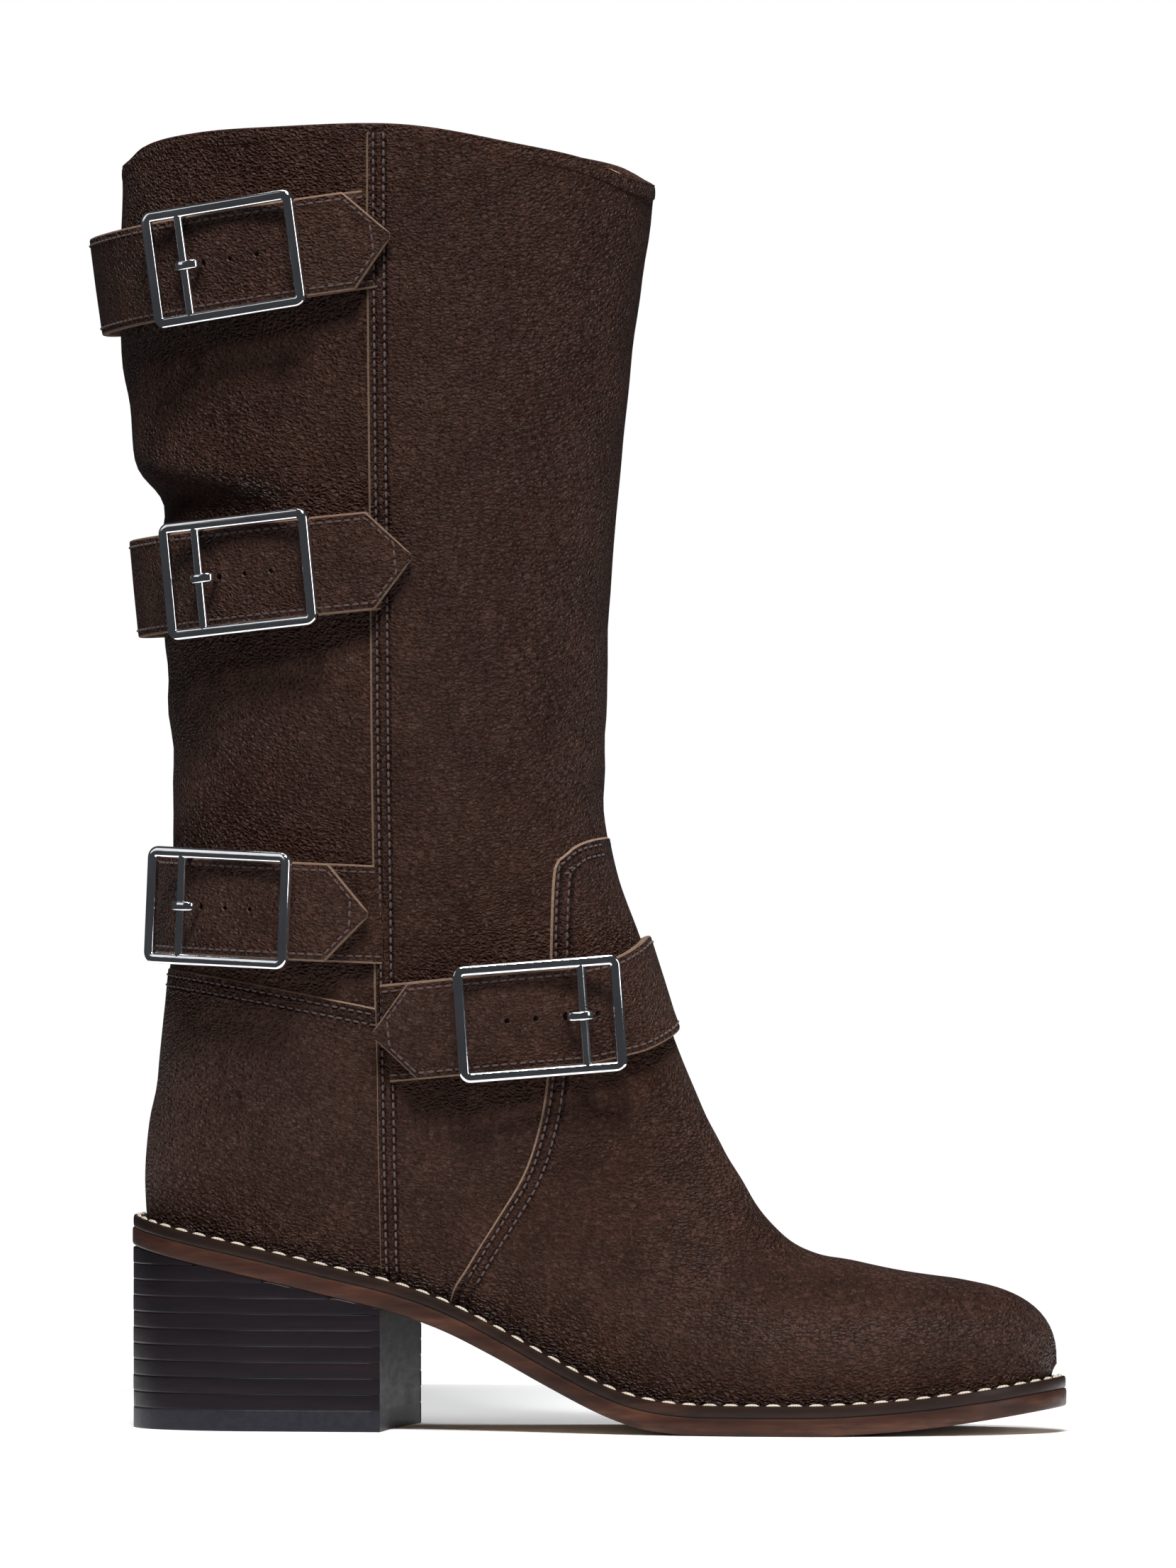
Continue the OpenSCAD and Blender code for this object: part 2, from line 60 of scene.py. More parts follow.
SOLE_LINE = [
    (-46, 53.6), (-20, 47.8), (0, 43.5), (20, 38.8), (40, 34), (55, 29), (70, 21.8), (85, 13.8),
    (100, 6.4), (112, 2.2), (125, 0.3), (140, 0), (155, 0), (170, 0.3), (190, 1.8), (210, 4.4),
    (234, 8.6)]
FOOTPRINT = [
    (HEEL_BACK, 0), (-35.5, -13), (-26, -24.5), (-8, -31.5), (15, -32), (38, -31.5), (65, -31.5),
    (90, -34), (115, -38.5), (140, -42), (165, -41), (190, -33.5), (209.5, -24), (223, -10),
    (227.2, 5), (224, 18), (213, 30.5), (195, 39.5), (170, 45), (148, 45.5), (120, 40),
    (95, 34), (68, 31), (38, 31.5), (15, 32), (-8, 31.5), (-26, 24.5), (-35.5, 13)]

# Stations of the upper: back x, z, front x, z, half width, middle y, back power, front power.
STATIONS = [
    (-41.5, 374, 111.6, 374, 47.0, 0, 2, 2),
    (-41.6, 340, 108.6, 340, 47.0, 0, 2, 2),
    (-41.5, 300, 103.4, 300, 46.0, 0, 2, 2),
    (-37.0, 274, 100.6, 274, 44.5, 0, 2, 2),
    (-30.3, 254, 98.6, 254, 43.0, 0, 2, 2),
    (-29.0, 216, 96.5, 216, 41.5, 0, 2, 2),
    (-27.0, 178, 95.9, 178, 39.5, 0, 2, 2),
    (-27.3, 142, 98.8, 157, 37.5, 0, 2, 2),
    (-29.4, 112, 105.8, 138, 36.0, 0, 2, 2),
    (-32.8, 86, 114.0, 112.6, 33.0, 0, 2.2, 2),
    (-34.4, 67, 124.0, 90, 31.0, 0, 2.4, 2),
    (-31.5, 50, 129.5, 79, 29.6, 0, 2.4, 1.9),
    (-20.0, 40, 134.5, 70, 29.0, 0, 2.2, 1.9),
    (5.0, 36, 138.8, 62.6, 28.8, 0, 2.1, 1.9),
    (40.0, 27, 143.5, 57, 29.0, 0.5, 2, 1.9),
    (70.0, 14, 149.5, 52.3, 31.0, 1, 2, 1.9),
    (95.0, 2, 157.0, 48.8, 34.5, 1.5, 2.1, 2),
    (120.0, -8, 166.0, 46.6, 38.0, 1.8, 2.2, 2),
    (146.0, -12, 177.0, 44.6, 38.0, 2.2, 2.2, 2.1),
    (170.0, -11, 188.0, 42.9, 35.0, 3.2, 2.2, 2.2),
    (188.0, -8, 195.5, 41.8, 31.0, 4.0, 2.2, 2.2),
    (200.0, -5, 202.5, 40.4, 27.0, 4.8, 2.2, 2.2)]
CAP_LEN = 21
RIM = [
    (-60, 354), (-40, 357), (-30, 362), (-12, 364.8), (12, 365.8), (38, 366.4), (55, 365.2),
    (75, 361.5), (95, 357.2), (108, 351.5), (125, 347)]
VAMP_EDGE = [
    (54, 20), (58, 38), (63.3, 46.6), (71.5, 59.6), (78.5, 71.6), (82.7, 83.6), (85.2, 97.6),
    (86, 120), (86, 155), (88.4, 161.5), (97, 166.5), (125, 170)]
HEEL_SEAM = [(-60, 131), (-27, 129.5), (5, 125), (39, 118.5)]

STRAP_W = 27.6
STRAP_T = 2.2
ANCHOR_T = 1.4
BACK_STRAPS = [
    (329.2, 0.138, 81.6, 112, 4.6), (240.7, 0.098, 76.5, 113.6, 5.6),
    (147.0, -0.042, 89, 122, 1.2)]
ANKLE_SAG = [(89, 0), (135, 5.4), (150, 4.8), (165, 2.4), (180, 0), (270, 0)]
ANKLE_UP, ANKLE_LOW = 8, 9
ANKLE_TIP, ANKLE_BUCKLE = 89, 121
BUCKLE_LEN, BUCKLE_H, BUCKLE_RIM, FRAME_T = 47.5, 33, 3, 2.6
FRAME_LEFT, FRAME_GAP, BAR_R, REAR_BAR_R, REAR_BAR_Y, SEAT_X = -11.3, 0.9, 1.3, 0.9, 6.9, 16
BAR_Y = -FRAME_GAP - FRAME_T / 2

# Rows of stitches: pitch, stitch length and thread radius.
SEAM_STITCH = (2.45, 1.75, 0.32)
HEEL_STITCH = (2.45, 1.7, 0.3)
STRAP_STITCH = (2.6, 1.85, 0.3)
WELT_STITCH = (6.0, 4.5, 0.55)
STRAP_STITCH_INSET = 2.0
WELT_STITCH_INSET = 1.7
# Holes of a strap: place from the centre bar towards the tip, and radius.
HOLES = [(4.3, 1.3), (-4.6, 0.8), (13.2, 0.8), (21.4, 0.8)]
LOOP_HALF = 11.8
LOOP_GAP, LOOP_WALL = 0.08, 0.9

# ---- numbers and curves ----


def spline(points, steps, closed=False):
    """A smooth curve through the points, as an array of rows."""
    p = np.array(points, float)
    n = len(p)
    rows = []
    for i in range(n if closed else n - 1):
        if closed:
            a, b, c, d = p[i - 1], p[i], p[(i + 1) % n], p[(i + 2) % n]
        else:
            a, b, c, d = p[max(i - 1, 0)], p[i], p[i + 1], p[min(i + 2, n - 1)]
        for t in np.arange(steps) / steps:
            rows.append(0.5 * (2 * b + (c - a) * t + (2 * a - 5 * b + 4 * c - d) * t ** 2
                               + (3 * b - a - 3 * c + d) * t ** 3))
    if not closed:
        rows.append(p[-1])
    return np.array(rows)


SOLE_CURVE = spline(SOLE_LINE, 12)


def sole_z(x):
    return np.maximum(np.interp(x, SOLE_CURVE[:, 0], SOLE_CURVE[:, 1]), 0)


def unit(v):
    return v / np.maximum(np.linalg.norm(v, axis=-1, keepdims=True), 1e-9)


def distance_to(line, x, z):
    """Distance from the points (x, z) to a side-view line, in mm."""
    best = np.full(np.shape(x), 1e9)
    for (x0, z0), (x1, z1) in zip(line[:-1], line[1:]):
        dx, dz = x1 - x0, z1 - z0
        t = np.clip(((x - x0) * dx + (z - z0) * dz) / (dx * dx + dz * dz + 1e-12), 0, 1)
        best = np.minimum(best, np.hypot(x - x0 - t * dx, z - z0 - t * dz))
    return best


def length_along(points):
    """Distance from the start of a line to each of its points."""
    return np.concatenate([[0], np.cumsum(np.linalg.norm(np.diff(points, axis=0), axis=1))])


def rows_at(at, s, rows):
    """The rows at the distances at, where the given rows are at the distances s."""
    return np.stack([np.interp(at, s, column) for column in rows.T], 1)


def tangents_at(at, s, points, reach=0.5):
    return unit(rows_at(at + reach, s, points) - rows_at(at - reach, s, points))


def even_places(length, pitch):
    """Middles of the equal steps, about a pitch long, that fill a length."""
    count = int(length / pitch)
    return (np.arange(count) + 0.5) * length / count


def outward_of(ring):
    """The outward way at each point of a closed outline, which runs anticlockwise."""
    way = unit(np.roll(ring, -1, 0) - np.roll(ring, 1, 0))
    return np.stack([way[:, 1], -way[:, 0]], 1)


def ring_faces(rings, size, first=0, closed=False, capped=True):
    """Faces from each ring of points to the next, and over both ends if they stay open."""
    faces = []
    for j in range(rings if closed else rings - 1):
        low, high = first + j * size, first + (j + 1) % rings * size
        faces += [(low + k, low + (k + 1) % size, high + (k + 1) % size, high + k)
                  for k in range(size)]
    if capped and not closed:
        last = first + (rings - 1) * size
        faces += [tuple(range(first, first + size))[::-1], tuple(range(last, last + size))]
    return faces


# ---- the upper's surface ----


def signed_power(v, n):
    return np.sign(v) * np.abs(v) ** (2 / n)


def oval(s, t, off):
    """A point of station s at angle t (degrees): 0 at the back, 90 at the outer side."""
    t = np.radians(np.asarray(t, float))
    back, front = np.array([s[0], s[1]]), np.array([s[2], s[3]])
    mid, half = (back + front) / 2, np.linalg.norm(front - back) / 2
    way = (front - back) / (2 * half)
    c = np.cos(t)
    power = np.where(c > 0, s[6], s[7])
    q = -signed_power(c, power) * (half + off)
    y = s[5] - signed_power(np.sin(t), power) * (s[4] + off)
    return np.stack([mid[0] + way[0] * q, y, mid[1] + way[1] * q], -1)


ROUND = 200
STEPS = 8
CAP_STEPS = 14


def base_grid():
    """Points of the upper's outer face, from above the rim to the toe."""
    angles = np.arange(ROUND) * 360 / ROUND
    rows = [oval(s, angles, 0) for s in spline(STATIONS, STEPS)]
    last = STATIONS[-1]
    ring = oval(last, angles, 0)
    mid = np.array([(last[0] + last[2]) / 2, last[5], (last[1] + last[3]) / 2])
    for f in np.linspace(0, 88.5, CAP_STEPS + 1)[1:]:
        s = math.sin(math.radians(f))
        wide = (1 - s) ** 0.5 * (1 + 0.19 * s)
        high = (1 - s) ** 0.36 * (1 + 0.18 * s)
        rows.append(np.stack([ring[:, 0] + CAP_LEN * s, mid[1] + (ring[:, 1] - mid[1]) * wide,
                              mid[2] + (ring[:, 2] - mid[2]) * high], -1))
    return np.array(rows)


P = base_grid()
ALONG = np.gradient(P, axis=0)
AROUND = np.roll(P, -1, 1) - np.roll(P, 1, 1)
N = unit(np.cross(AROUND, ALONG))
if np.mean(N[:, ROUND // 4, 1]) > 0:
    N = -N
X, Y, Z = P[..., 0], P[..., 1], P[..., 2]

# Folds seen from the side: start x, z, end x, z, depth, width, and which side (-1 outer, 1 inner,
# 0 both). A negative depth is a ridge.
FOLDS = [
    (-44, 291, -8, 283, 1.3, 8, 0), (-40, 262, 4, 256, 3.0, 7, 0), (-30, 274, 18, 268, -1.6, 8, 0),
    (-20, 298, 22, 303, 1.3, 6, -1), (-12, 350, 22, 346, 0.8, 9, -1), (6, 352, 2, 340, 0.6, 7, -1),
    (-30, 213, 20, 217, 1.4, 8, 0), (-20, 120, 22, 112, 1.2, 6, 0), (-8, 171, 26, 168, 1.0, 5, -1),
    (30, 118, 34, 100, 0.7, 5, -1), (88, 262, 66, 250, 0.6, 9, -1), (100, 225, 72, 232, 0.6, 8, 0),
    (104, 302, 84, 292, 0.8, 7, -1), (60, 350, 74, 330, 0.7, 8, -1), (50, 88, 78, 96, 1.0, 6, 0),
    (118, 84, 92, 76, 1.3, 7, 0), (126, 74, 104, 62, 1.0, 6, 0), (150, 50, 128, 40, 0.9, 7, 0),
    (158, 47, 146, 30, 0.7, 6, 0), (96, 176, 74, 180, 1.0, 7, 0), (98, 194, 80, 200, 0.7, 6, 0),
    (-32, 96, -4, 92, 0.8, 7, 0), (-30, 192, 6, 187, 1.2, 8, 0), (10, 196, 30, 188, 0.6, 6, 1)]


def relief():
    """How far the leather stands out from the smooth shape, in mm."""
    w = 0.35 * np.sin(X / 17 + 1.3 * np.sin(Z / 31)) * np.sin(Z / 23 + Y / 19 + 0.8)
    w = w + 0.22 * np.sin(X / 7.1 + Z / 9.3 + 2.2 * np.sin(Z / 27)) * np.sin(Z / 8.3 - Y / 6.7)
    for x0, z0, x1, z1, depth, width, side in FOLDS:
        near = distance_to([(x0, z0), (x1, z1)], X, Z)
        fold = -depth * np.exp(-(near / width) ** 2) + 0.3 * depth * np.exp(-(near / width / 2.2) ** 2)
        w = w + (fold if side == 0 else fold * np.clip(side * Y / 12, 0, 1))
    quiet = np.clip((Z - sole_z(X) - SOLE_T) / 16, 0, 1) * np.clip((214 - X) / 30, 0.1, 1)
    return w * quiet


W = relief()
RIM_CURVE = spline(RIM, 8)
VAMP_CURVE = spline(VAMP_EDGE, 8)
SEAM_CURVE = spline(HEEL_SEAM, 8)
ABOVE_SOLE = Z - sole_z(X) - SOLE_T + 0.6
BELOW_RIM = np.interp(X, RIM_CURVE[:, 0], RIM_CURVE[:, 1]) - Z


def inside_vamp():
    """Signed distance from the vamp's edge, positive on the vamp."""
    vx = np.interp(Z, VAMP_CURVE[:, 1], VAMP_CURVE[:, 0])
    sign = np.where((X > vx) & (Z < VAMP_CURVE[-1, 1]), 1, -1)
    # Over the tongue, the edge is a height at each x.
    tongue = VAMP_CURVE[60:]
    top = np.interp(X, tongue[:, 0], tongue[:, 1])
    sign = np.where((X > 86) & (Z > 150), np.where(Z < top, 1, -1), sign)
    return sign * distance_to(VAMP_CURVE, X, Z)


VAMP_G = inside_vamp()
HEEL_G = np.interp(X, SEAM_CURVE[:, 0], SEAM_CURVE[:, 1]) - Z


def clip_grid(keep):
    """Cells of the surface where keep > 0, cut along keep = 0. Returns weights and faces."""
    rows, cols = keep.shape
    flat = keep.ravel()
    verts, faces, index = [], [], {}

    def vertex(a, b=None, t=0.0):
        key = (a, b) if b is None or a < b else (b, a)
        if key not in index:
            index[key] = len(verts)
            verts.append((a, a if b is None else b, t))
        return index[key]

    for u in range(rows - 1):
        for k in range(cols):
            n = (k + 1) % cols
            corner = (u * cols + k, (u + 1) * cols + k, (u + 1) * cols + n, u * cols + n)
            value = [flat[c] for c in corner]
            if min(value) > 0:
                faces.append([vertex(c) for c in corner])
            elif max(value) > 0:
                face = []
                for i in range(4):
                    a, b, ga, gb = corner[i], corner[(i + 1) % 4], value[i], value[(i + 1) % 4]
                    if ga > 0:
                        face.append(vertex(a))
                    if (ga > 0) != (gb > 0):
                        face.append(vertex(a, b, ga / (ga - gb)))
                if len(face) > 2:
                    faces.append(face)
    v = np.array(verts, dtype=float)
    a, b, t = v[:, 0].astype(int), v[:, 1].astype(int), v[:, 2:3]
    return a, b, t, faces


def on_grid(field, a, b, t):
    """A field of the grid at vertices that lie at share t of the way from a to b."""
    f = field.reshape(P.shape[0] * P.shape[1], -1)
    return f[a] * (1 - t) + f[b] * t


# ---- materials ----

WHITE = (1, 1, 1, 1)


class Nodes:
    """A short way to build a material's nodes."""

    def __init__(self, name, color, roughness, **sockets):
        self.mat = bpy.data.materials.new(name)
        self.mat.use_nodes = True
        self.tree = self.mat.node_tree
        self.bsdf = self.tree.nodes["Principled BSDF"]
        self.bsdf.inputs["Base Color"].default_value = (*color, 1)
        self.bsdf.inputs["Roughness"].default_value = roughness
        for key, value in sockets.items():
            self.bsdf.inputs[key.replace("_", " ")].default_value = value
        self.where = self.add("ShaderNodeTexCoord").outputs["Object"]

    def add(self, kind, **values):
        node = self.tree.nodes.new(kind)
        for key, value in values.items():
            if key in node.inputs:
                node.inputs[key].default_value = value
            else:
                setattr(node, key, value)
        return node

    def link(self, a, b):
        self.tree.links.new(a, b)

    def stretched(self, scale):
        node = self.add("ShaderNodeMapping")
        node.inputs["Scale"].default_value = scale
        self.link(self.where, node.inputs["Vector"])
        return node.outputs["Vector"]

    def noise(self, scale, detail=3, vector=None, rough=0.5, distortion=0.0):
        node = self.add("ShaderNodeTexNoise", Scale=scale, Detail=detail, Roughness=rough,
                        Distortion=distortion)
        self.link(vector or self.where, node.inputs["Vector"])
        return node.outputs["Fac"]

    def ramp(self, source, *stops):
        node = self.add("ShaderNodeValToRGB")
        ends = node.color_ramp.elements
        while len(ends) < len(stops):
            ends.new(0.5)
        for end, (place, value) in zip(ends, stops):
            end.position = place
            end.color = (*value, 1) if isinstance(value, tuple) else (value, value, value, 1)
        self.link(source, node.inputs["Fac"])
        return node.outputs["Color"]

    def math(self, kind, a, b):
        node = self.add("ShaderNodeMath", operation=kind)
        for slot, value in zip(node.inputs, (a, b)):
            if isinstance(value, (int, float)):
                slot.default_value = value
            else:
                self.link(value, slot)
        return node.outputs[0]

    def mix(self, factor, a, b, kind="MIX"):
        node = self.add("ShaderNodeMix", data_type="RGBA", blend_type=kind)
        for slot, value in ((node.inputs[0], factor), (node.inputs[6], a), (node.inputs[7], b)):
            if isinstance(value, (int, float)):
                slot.default_value = value
            elif isinstance(value, tuple):
                slot.default_value = (*value, 1)
            else:
                self.link(value, slot)
        return node.outputs[2]

    def color(self, source):
        self.link(source, self.bsdf.inputs["Base Color"])

    def rough(self, source):
        self.link(source, self.bsdf.inputs["Roughness"])

    def bump(self, source, depth, strength=1.0, after=None):
        node = self.add("ShaderNodeBump", Strength=strength, Distance=depth)
        self.link(source, node.inputs["Height"])
        if after:
            self.link(after, node.inputs["Normal"])
        self.link(node.outputs["Normal"], self.bsdf.inputs["Normal"])
        return node.outputs["Normal"]


def grain_lines(m, scale):
    """A fine raised network: 1 on its lines and 0 in the cells between them."""
    warp = m.add("ShaderNodeTexNoise", Scale=scale * 0.55, Detail=2.0)
    m.link(m.where, warp.inputs["Vector"])
    shift = m.add("ShaderNodeVectorMath", operation="MULTIPLY_ADD")
    m.link(warp.outputs["Color"], shift.inputs[0])
    shift.inputs[1].default_value = (1.6 / scale,) * 3
    m.link(m.stretched((1, 1, 1.5)), shift.inputs[2])
    cell = m.add("ShaderNodeTexVoronoi", Scale=scale, feature="DISTANCE_TO_EDGE")
    m.link(shift.outputs[0], cell.inputs["Vector"])
    return m.ramp(cell.outputs["Distance"], (0.0, 1.0), (0.16, 0.5), (0.4, 0.0))


# Distances of the two stitch rows from a panel's cut edge, in mm.
ROWS = (1.5, 4.4)


def leather(name, dark, mid, light, scale=600, grain=0.001, roughness=(0.33, 0.45), seams=False):
    """Grained leather, with painted highlights lightening the grain's raised lines in patches. With
    seams, it dips along the rows of stitches, and painted shade darkens the dip.
    """
    m = Nodes(name, mid, 0.5, Specular_IOR_Level=0.15)
    lines = grain_lines(m, scale)
    fine = m.noise(scale * 3.2, 4, rough=0.65)
    patch = m.noise(26, 3)
    glint_patch = m.noise(75, 3)
    tone = m.ramp(patch, (0.3, dark), (0.55, mid), (0.78, light))
    # Painted highlight: the grain's network lines are lightened, in patches, as glints on the ridges.
    tone = m.mix(m.math("MULTIPLY", lines, m.ramp(glint_patch, (0.35, 0.3), (0.62, 0.6))), tone,
                 tuple(2.3 * c + 0.008 for c in light))
    height = m.math("ADD", lines, m.math("MULTIPLY", fine, 0.4))
    if seams:
        edge = m.add("ShaderNodeAttribute", attribute_name="edge").outputs["Fac"]
        near = [m.math("ABSOLUTE", m.math("SUBTRACT", edge, row), 0.0) for row in ROWS]
        groove_dip_and_shade = m.ramp(m.math("MINIMUM", *near), (0.0, 1.0), (0.45, 0.55), (1.0, 0.0))
        # Painted shade: the tone darkens in the dip along each stitch row.
        tone = m.mix(m.math("MULTIPLY", groove_dip_and_shade, 0.75), tone, tuple(0.35 * c for c in dark))
        height = m.math("SUBTRACT", height, m.math("MULTIPLY", groove_dip_and_shade, 1.6))
    m.color(tone)
    m.rough(m.math("ADD", m.math("MULTIPLY", patch, roughness[1] - roughness[0]), roughness[0]))
    coarse = m.bump(m.noise(130, 3), 0.0008, 0.4)
    m.bump(height, grain, 1.0, coarse)
    return m.mat


def raw_edge(name, color, light):
    m = Nodes(name, color, 0.85)
    fibre = m.noise(900, 4, m.stretched((1, 1, 3)), 0.7)
    m.color(m.ramp(fibre, (0.25, color), (0.75, light)))
    m.bump(fibre, 0.00035, 0.8)
    return m.mat


def burnished(name, dark, mid, light, roughness):
    """Edge of sole leather: dark stain with streaks along the edge."""
    m = Nodes(name, mid, roughness, Specular_IOR_Level=0.16, Coat_Weight=0.05, Coat_Roughness=0.25)
    streak = m.noise(60, 5, m.stretched((0.25, 0.6, 3)), 0.65)
    spots = m.noise(240, 3, m.stretched((0.6, 0.6, 1.6)))
    tone = m.ramp(streak, (0.3, dark), (0.55, mid), (0.8, light))
    m.color(m.mix(m.ramp(spots, (0.45, 0.0), (0.75, 0.55)), tone, dark))
    m.rough(m.math("ADD", m.math("MULTIPLY", spots, 0.25), roughness - 0.1))
    m.bump(streak, 0.0003, 0.5)
    return m.mat


def chrome():
    m = Nodes("polished_nickel", (0.82, 0.82, 0.84), 0.08, Metallic=1.0)
    smear = m.noise(70, 4)
    scratch = m.noise(700, 2, m.stretched((0.3, 1, 2.5)))
    m.rough(m.math("ADD", m.math("MULTIPLY", smear, 0.1), 0.03))
    m.color(m.ramp(smear, (0.3, (0.72, 0.73, 0.76)), (0.7, (0.88, 0.88, 0.9))))
    m.bump(scratch, 0.00002, 0.25)
    return m.mat


def thread(name, dark, light):
    m = Nodes(name, light, 0.7, Sheen_Weight=0.15)
    twist = m.add("ShaderNodeTexWave", Scale=420.0, Distortion=1.5)
    m.link(m.stretched((1, 0.4, 1)), twist.inputs["Vector"])
    m.color(m.mix(m.noise(160, 2), m.ramp(twist.outputs["Fac"], (0.2, dark), (0.8, light)), light))
    m.bump(twist.outputs["Fac"], 0.00012, 0.6)
    return m.mat


def plain(name, dark, light, scale, roughness, depth=0.0002, metallic=0.0):
    m = Nodes(name, light, roughness, Metallic=metallic, Specular_IOR_Level=0.25)
    grain = m.noise(scale, 4, rough=0.6)
    m.color(m.ramp(grain, (0.3, dark), (0.7, light)))
    m.rough(m.math("ADD", m.math("MULTIPLY", grain, 0.2), roughness - 0.1))
    m.bump(grain, depth, 0.6)
    return m.mat


def board(name, dark, light):
    """Woven or pressed backing, with a crossed grain."""
    m = Nodes(name, light, 0.85)
    warp = m.noise(900, 2, m.stretched((4, 4, 0.5)))
    weft = m.noise(900, 2, m.stretched((0.5, 0.5, 4)))
    weave = m.math("ADD", warp, weft)
    m.color(m.ramp(weave, (0.4, dark), (0.65, light)))
    m.bump(weave, 0.0003, 0.7)
    return m.mat


HIDE = ((0.016, 0.0052, 0.0029), (0.0215, 0.0074, 0.0041), (0.0285, 0.0106, 0.0059))
BROWN = leather("grained_brown_leather", *HIDE)
SEAMED = leather("seamed_brown_leather", *HIDE, seams=True)
STRAP_LEATHER = leather("brown_strap_leather", (0.017, 0.0056, 0.0031), (0.0235, 0.0082, 0.0045),
                        (0.031, 0.0116, 0.0065), 620, 0.0009)
LINING = leather("tan_lining_leather", (0.16, 0.095, 0.055), (0.22, 0.135, 0.08),
                 (0.28, 0.18, 0.11), 1500, 0.00008, (0.45, 0.65))
PANEL_EDGE = raw_edge("cut_leather_edge", (0.10, 0.06, 0.04), (0.26, 0.17, 0.115))
STRAP_EDGE = raw_edge("cut_strap_edge", (0.075, 0.042, 0.027), (0.2, 0.125, 0.08))
WELT = burnished("burnished_welt", (0.006, 0.003, 0.0022), (0.016, 0.0068, 0.0042),
                 (0.045, 0.019, 0.011), 0.4)
OUTSOLE = burnished("stained_outsole", (0.012, 0.005, 0.0035), (0.042, 0.016, 0.010),
                 (0.12, 0.05, 0.028), 0.4)
STACK = burnished("stacked_leather", (0.0026, 0.0017, 0.003), (0.0062, 0.0033, 0.0054),
                  (0.015, 0.0068, 0.008), 0.42)
TOP_LIFT = plain("hard_rubber_top_lift", (0.009, 0.0085, 0.013), (0.016, 0.015, 0.022), 500, 0.45)
CHROME = chrome()
BROWN_THREAD = thread("dark_brown_thread", (0.022, 0.011, 0.012), (0.062, 0.034, 0.031))
CREAM_THREAD = thread("waxed_cream_thread", (0.22, 0.17, 0.12), (0.52, 0.45, 0.36))
CORK = plain("cork", (0.2, 0.11, 0.05), (0.42, 0.28, 0.16), 700, 0.8, 0.0006)
STEEL = plain("spring_steel", (0.3, 0.3, 0.31), (0.5, 0.5, 0.51), 300, 0.35, 0.00005, 1.0)
INSOLE = plain("insole_leather", (0.3, 0.19, 0.11), (0.42, 0.29, 0.18), 1200, 0.7)
STIFFENER = board("stiffener_board", (0.24, 0.17, 0.1), (0.4, 0.31, 0.2))
BACKER = board("backer_cotton", (0.4, 0.34, 0.26), (0.6, 0.53, 0.42))

# ---- making pieces ----


SMOOTH_ANGLE = 35


def make(name, verts, faces, materials, slots=None):
    mesh = bpy.data.meshes.new(name)
    mesh.from_pydata([tuple(v) for v in np.asarray(verts) * MM], [], [tuple(f) for f in faces])
    for material in materials:
        mesh.materials.append(material)
    if slots is not None:
        mesh.polygons.foreach_set("material_index", slots)
    mesh.polygons.foreach_set("use_smooth", [True] * len(faces))
    mesh.validate()
    mesh.update()
    mesh.set_sharp_from_angle(angle=math.radians(SMOOTH_ANGLE))
    obj = bpy.data.objects.new(name, mesh)
    bpy.context.scene.collection.objects.link(obj)
    return obj


def mend(obj, angle=SMOOTH_ANGLE, weld=True):
    """Welds doubled points and turns every face outwards."""
    bm = bmesh.new()
    bm.from_mesh(obj.data)
    if weld:
        bmesh.ops.remove_doubles(bm, verts=bm.verts, dist=0.000002)
    bmesh.ops.recalc_face_normals(bm, faces=bm.faces)
    bm.to_mesh(obj.data)
    bm.free()
    obj.data.set_sharp_from_angle(angle=math.radians(angle))


def place(obj, body, slot, *nodes):
    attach(obj, body)
    if nodes:
        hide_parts(*nodes)
    return obj


def panel(name, keep, off, thick, materials, node, slot, edge=None):
    """One layer of the upper between two depths, cut where keep runs out. With edge, the
    distance from a cut edge, that edge slopes and the stitch rows follow it. Returns a tree of
    the outer face, to lay stitches on."""
    a, b, t, faces = clip_grid(keep)
    base, normal, lift = on_grid(P, a, b, t), unit(on_grid(N, a, b, t)), on_grid(W, a, b, t)
    n = len(a)
    verts = np.vstack([base + normal * (lift + off), base + normal * (lift + off - thick)])
    f = faces[len(faces) // 2]
    facing = np.dot(np.cross(verts[f[1]] - verts[f[0]], verts[f[2]] - verts[f[0]]), normal[f[0]])
    outer = faces if facing > 0 else [g[::-1] for g in faces]
    # The open edges are those that no second face runs along the other way.
    edges = {}
    for face in outer:
        for i, j in zip(face, face[1:] + face[:1]):
            if (j, i) in edges:
                del edges[(j, i)]
            else:
                edges[(i, j)] = True
    if edge is not None:
        # The cut edge slopes a little, so that it shows as a thin raw line.
        slope = np.zeros((n, 3))
        for i, j in edges:
            away = unit(np.cross(verts[j] - verts[i], normal[i]))
            slope[i] += away
            slope[j] += away
        reach = on_grid(edge, a, b, t)[:, :1]
        verts[n:] += unit(slope) * SKIVE * (np.abs(reach) < 0.2)
    walls = [(j, i, i + n, j + n) for i, j in edges]
    inner = [tuple(i + n for i in face[::-1]) for face in outer]
    slots = [0] * len(outer) + [1] * len(walls) + [2] * len(inner)
    obj = make(name, verts, outer + walls + inner, materials, slots)
    if edge is not None:
        values = np.tile(reach[:, 0], 2)
        obj.data.attributes.new("edge", "FLOAT", "POINT").data.foreach_set("value", values)
    place(obj, "root", slot, node)
    return BVHTree.FromPolygons([Vector(v) for v in verts[:n]], outer)


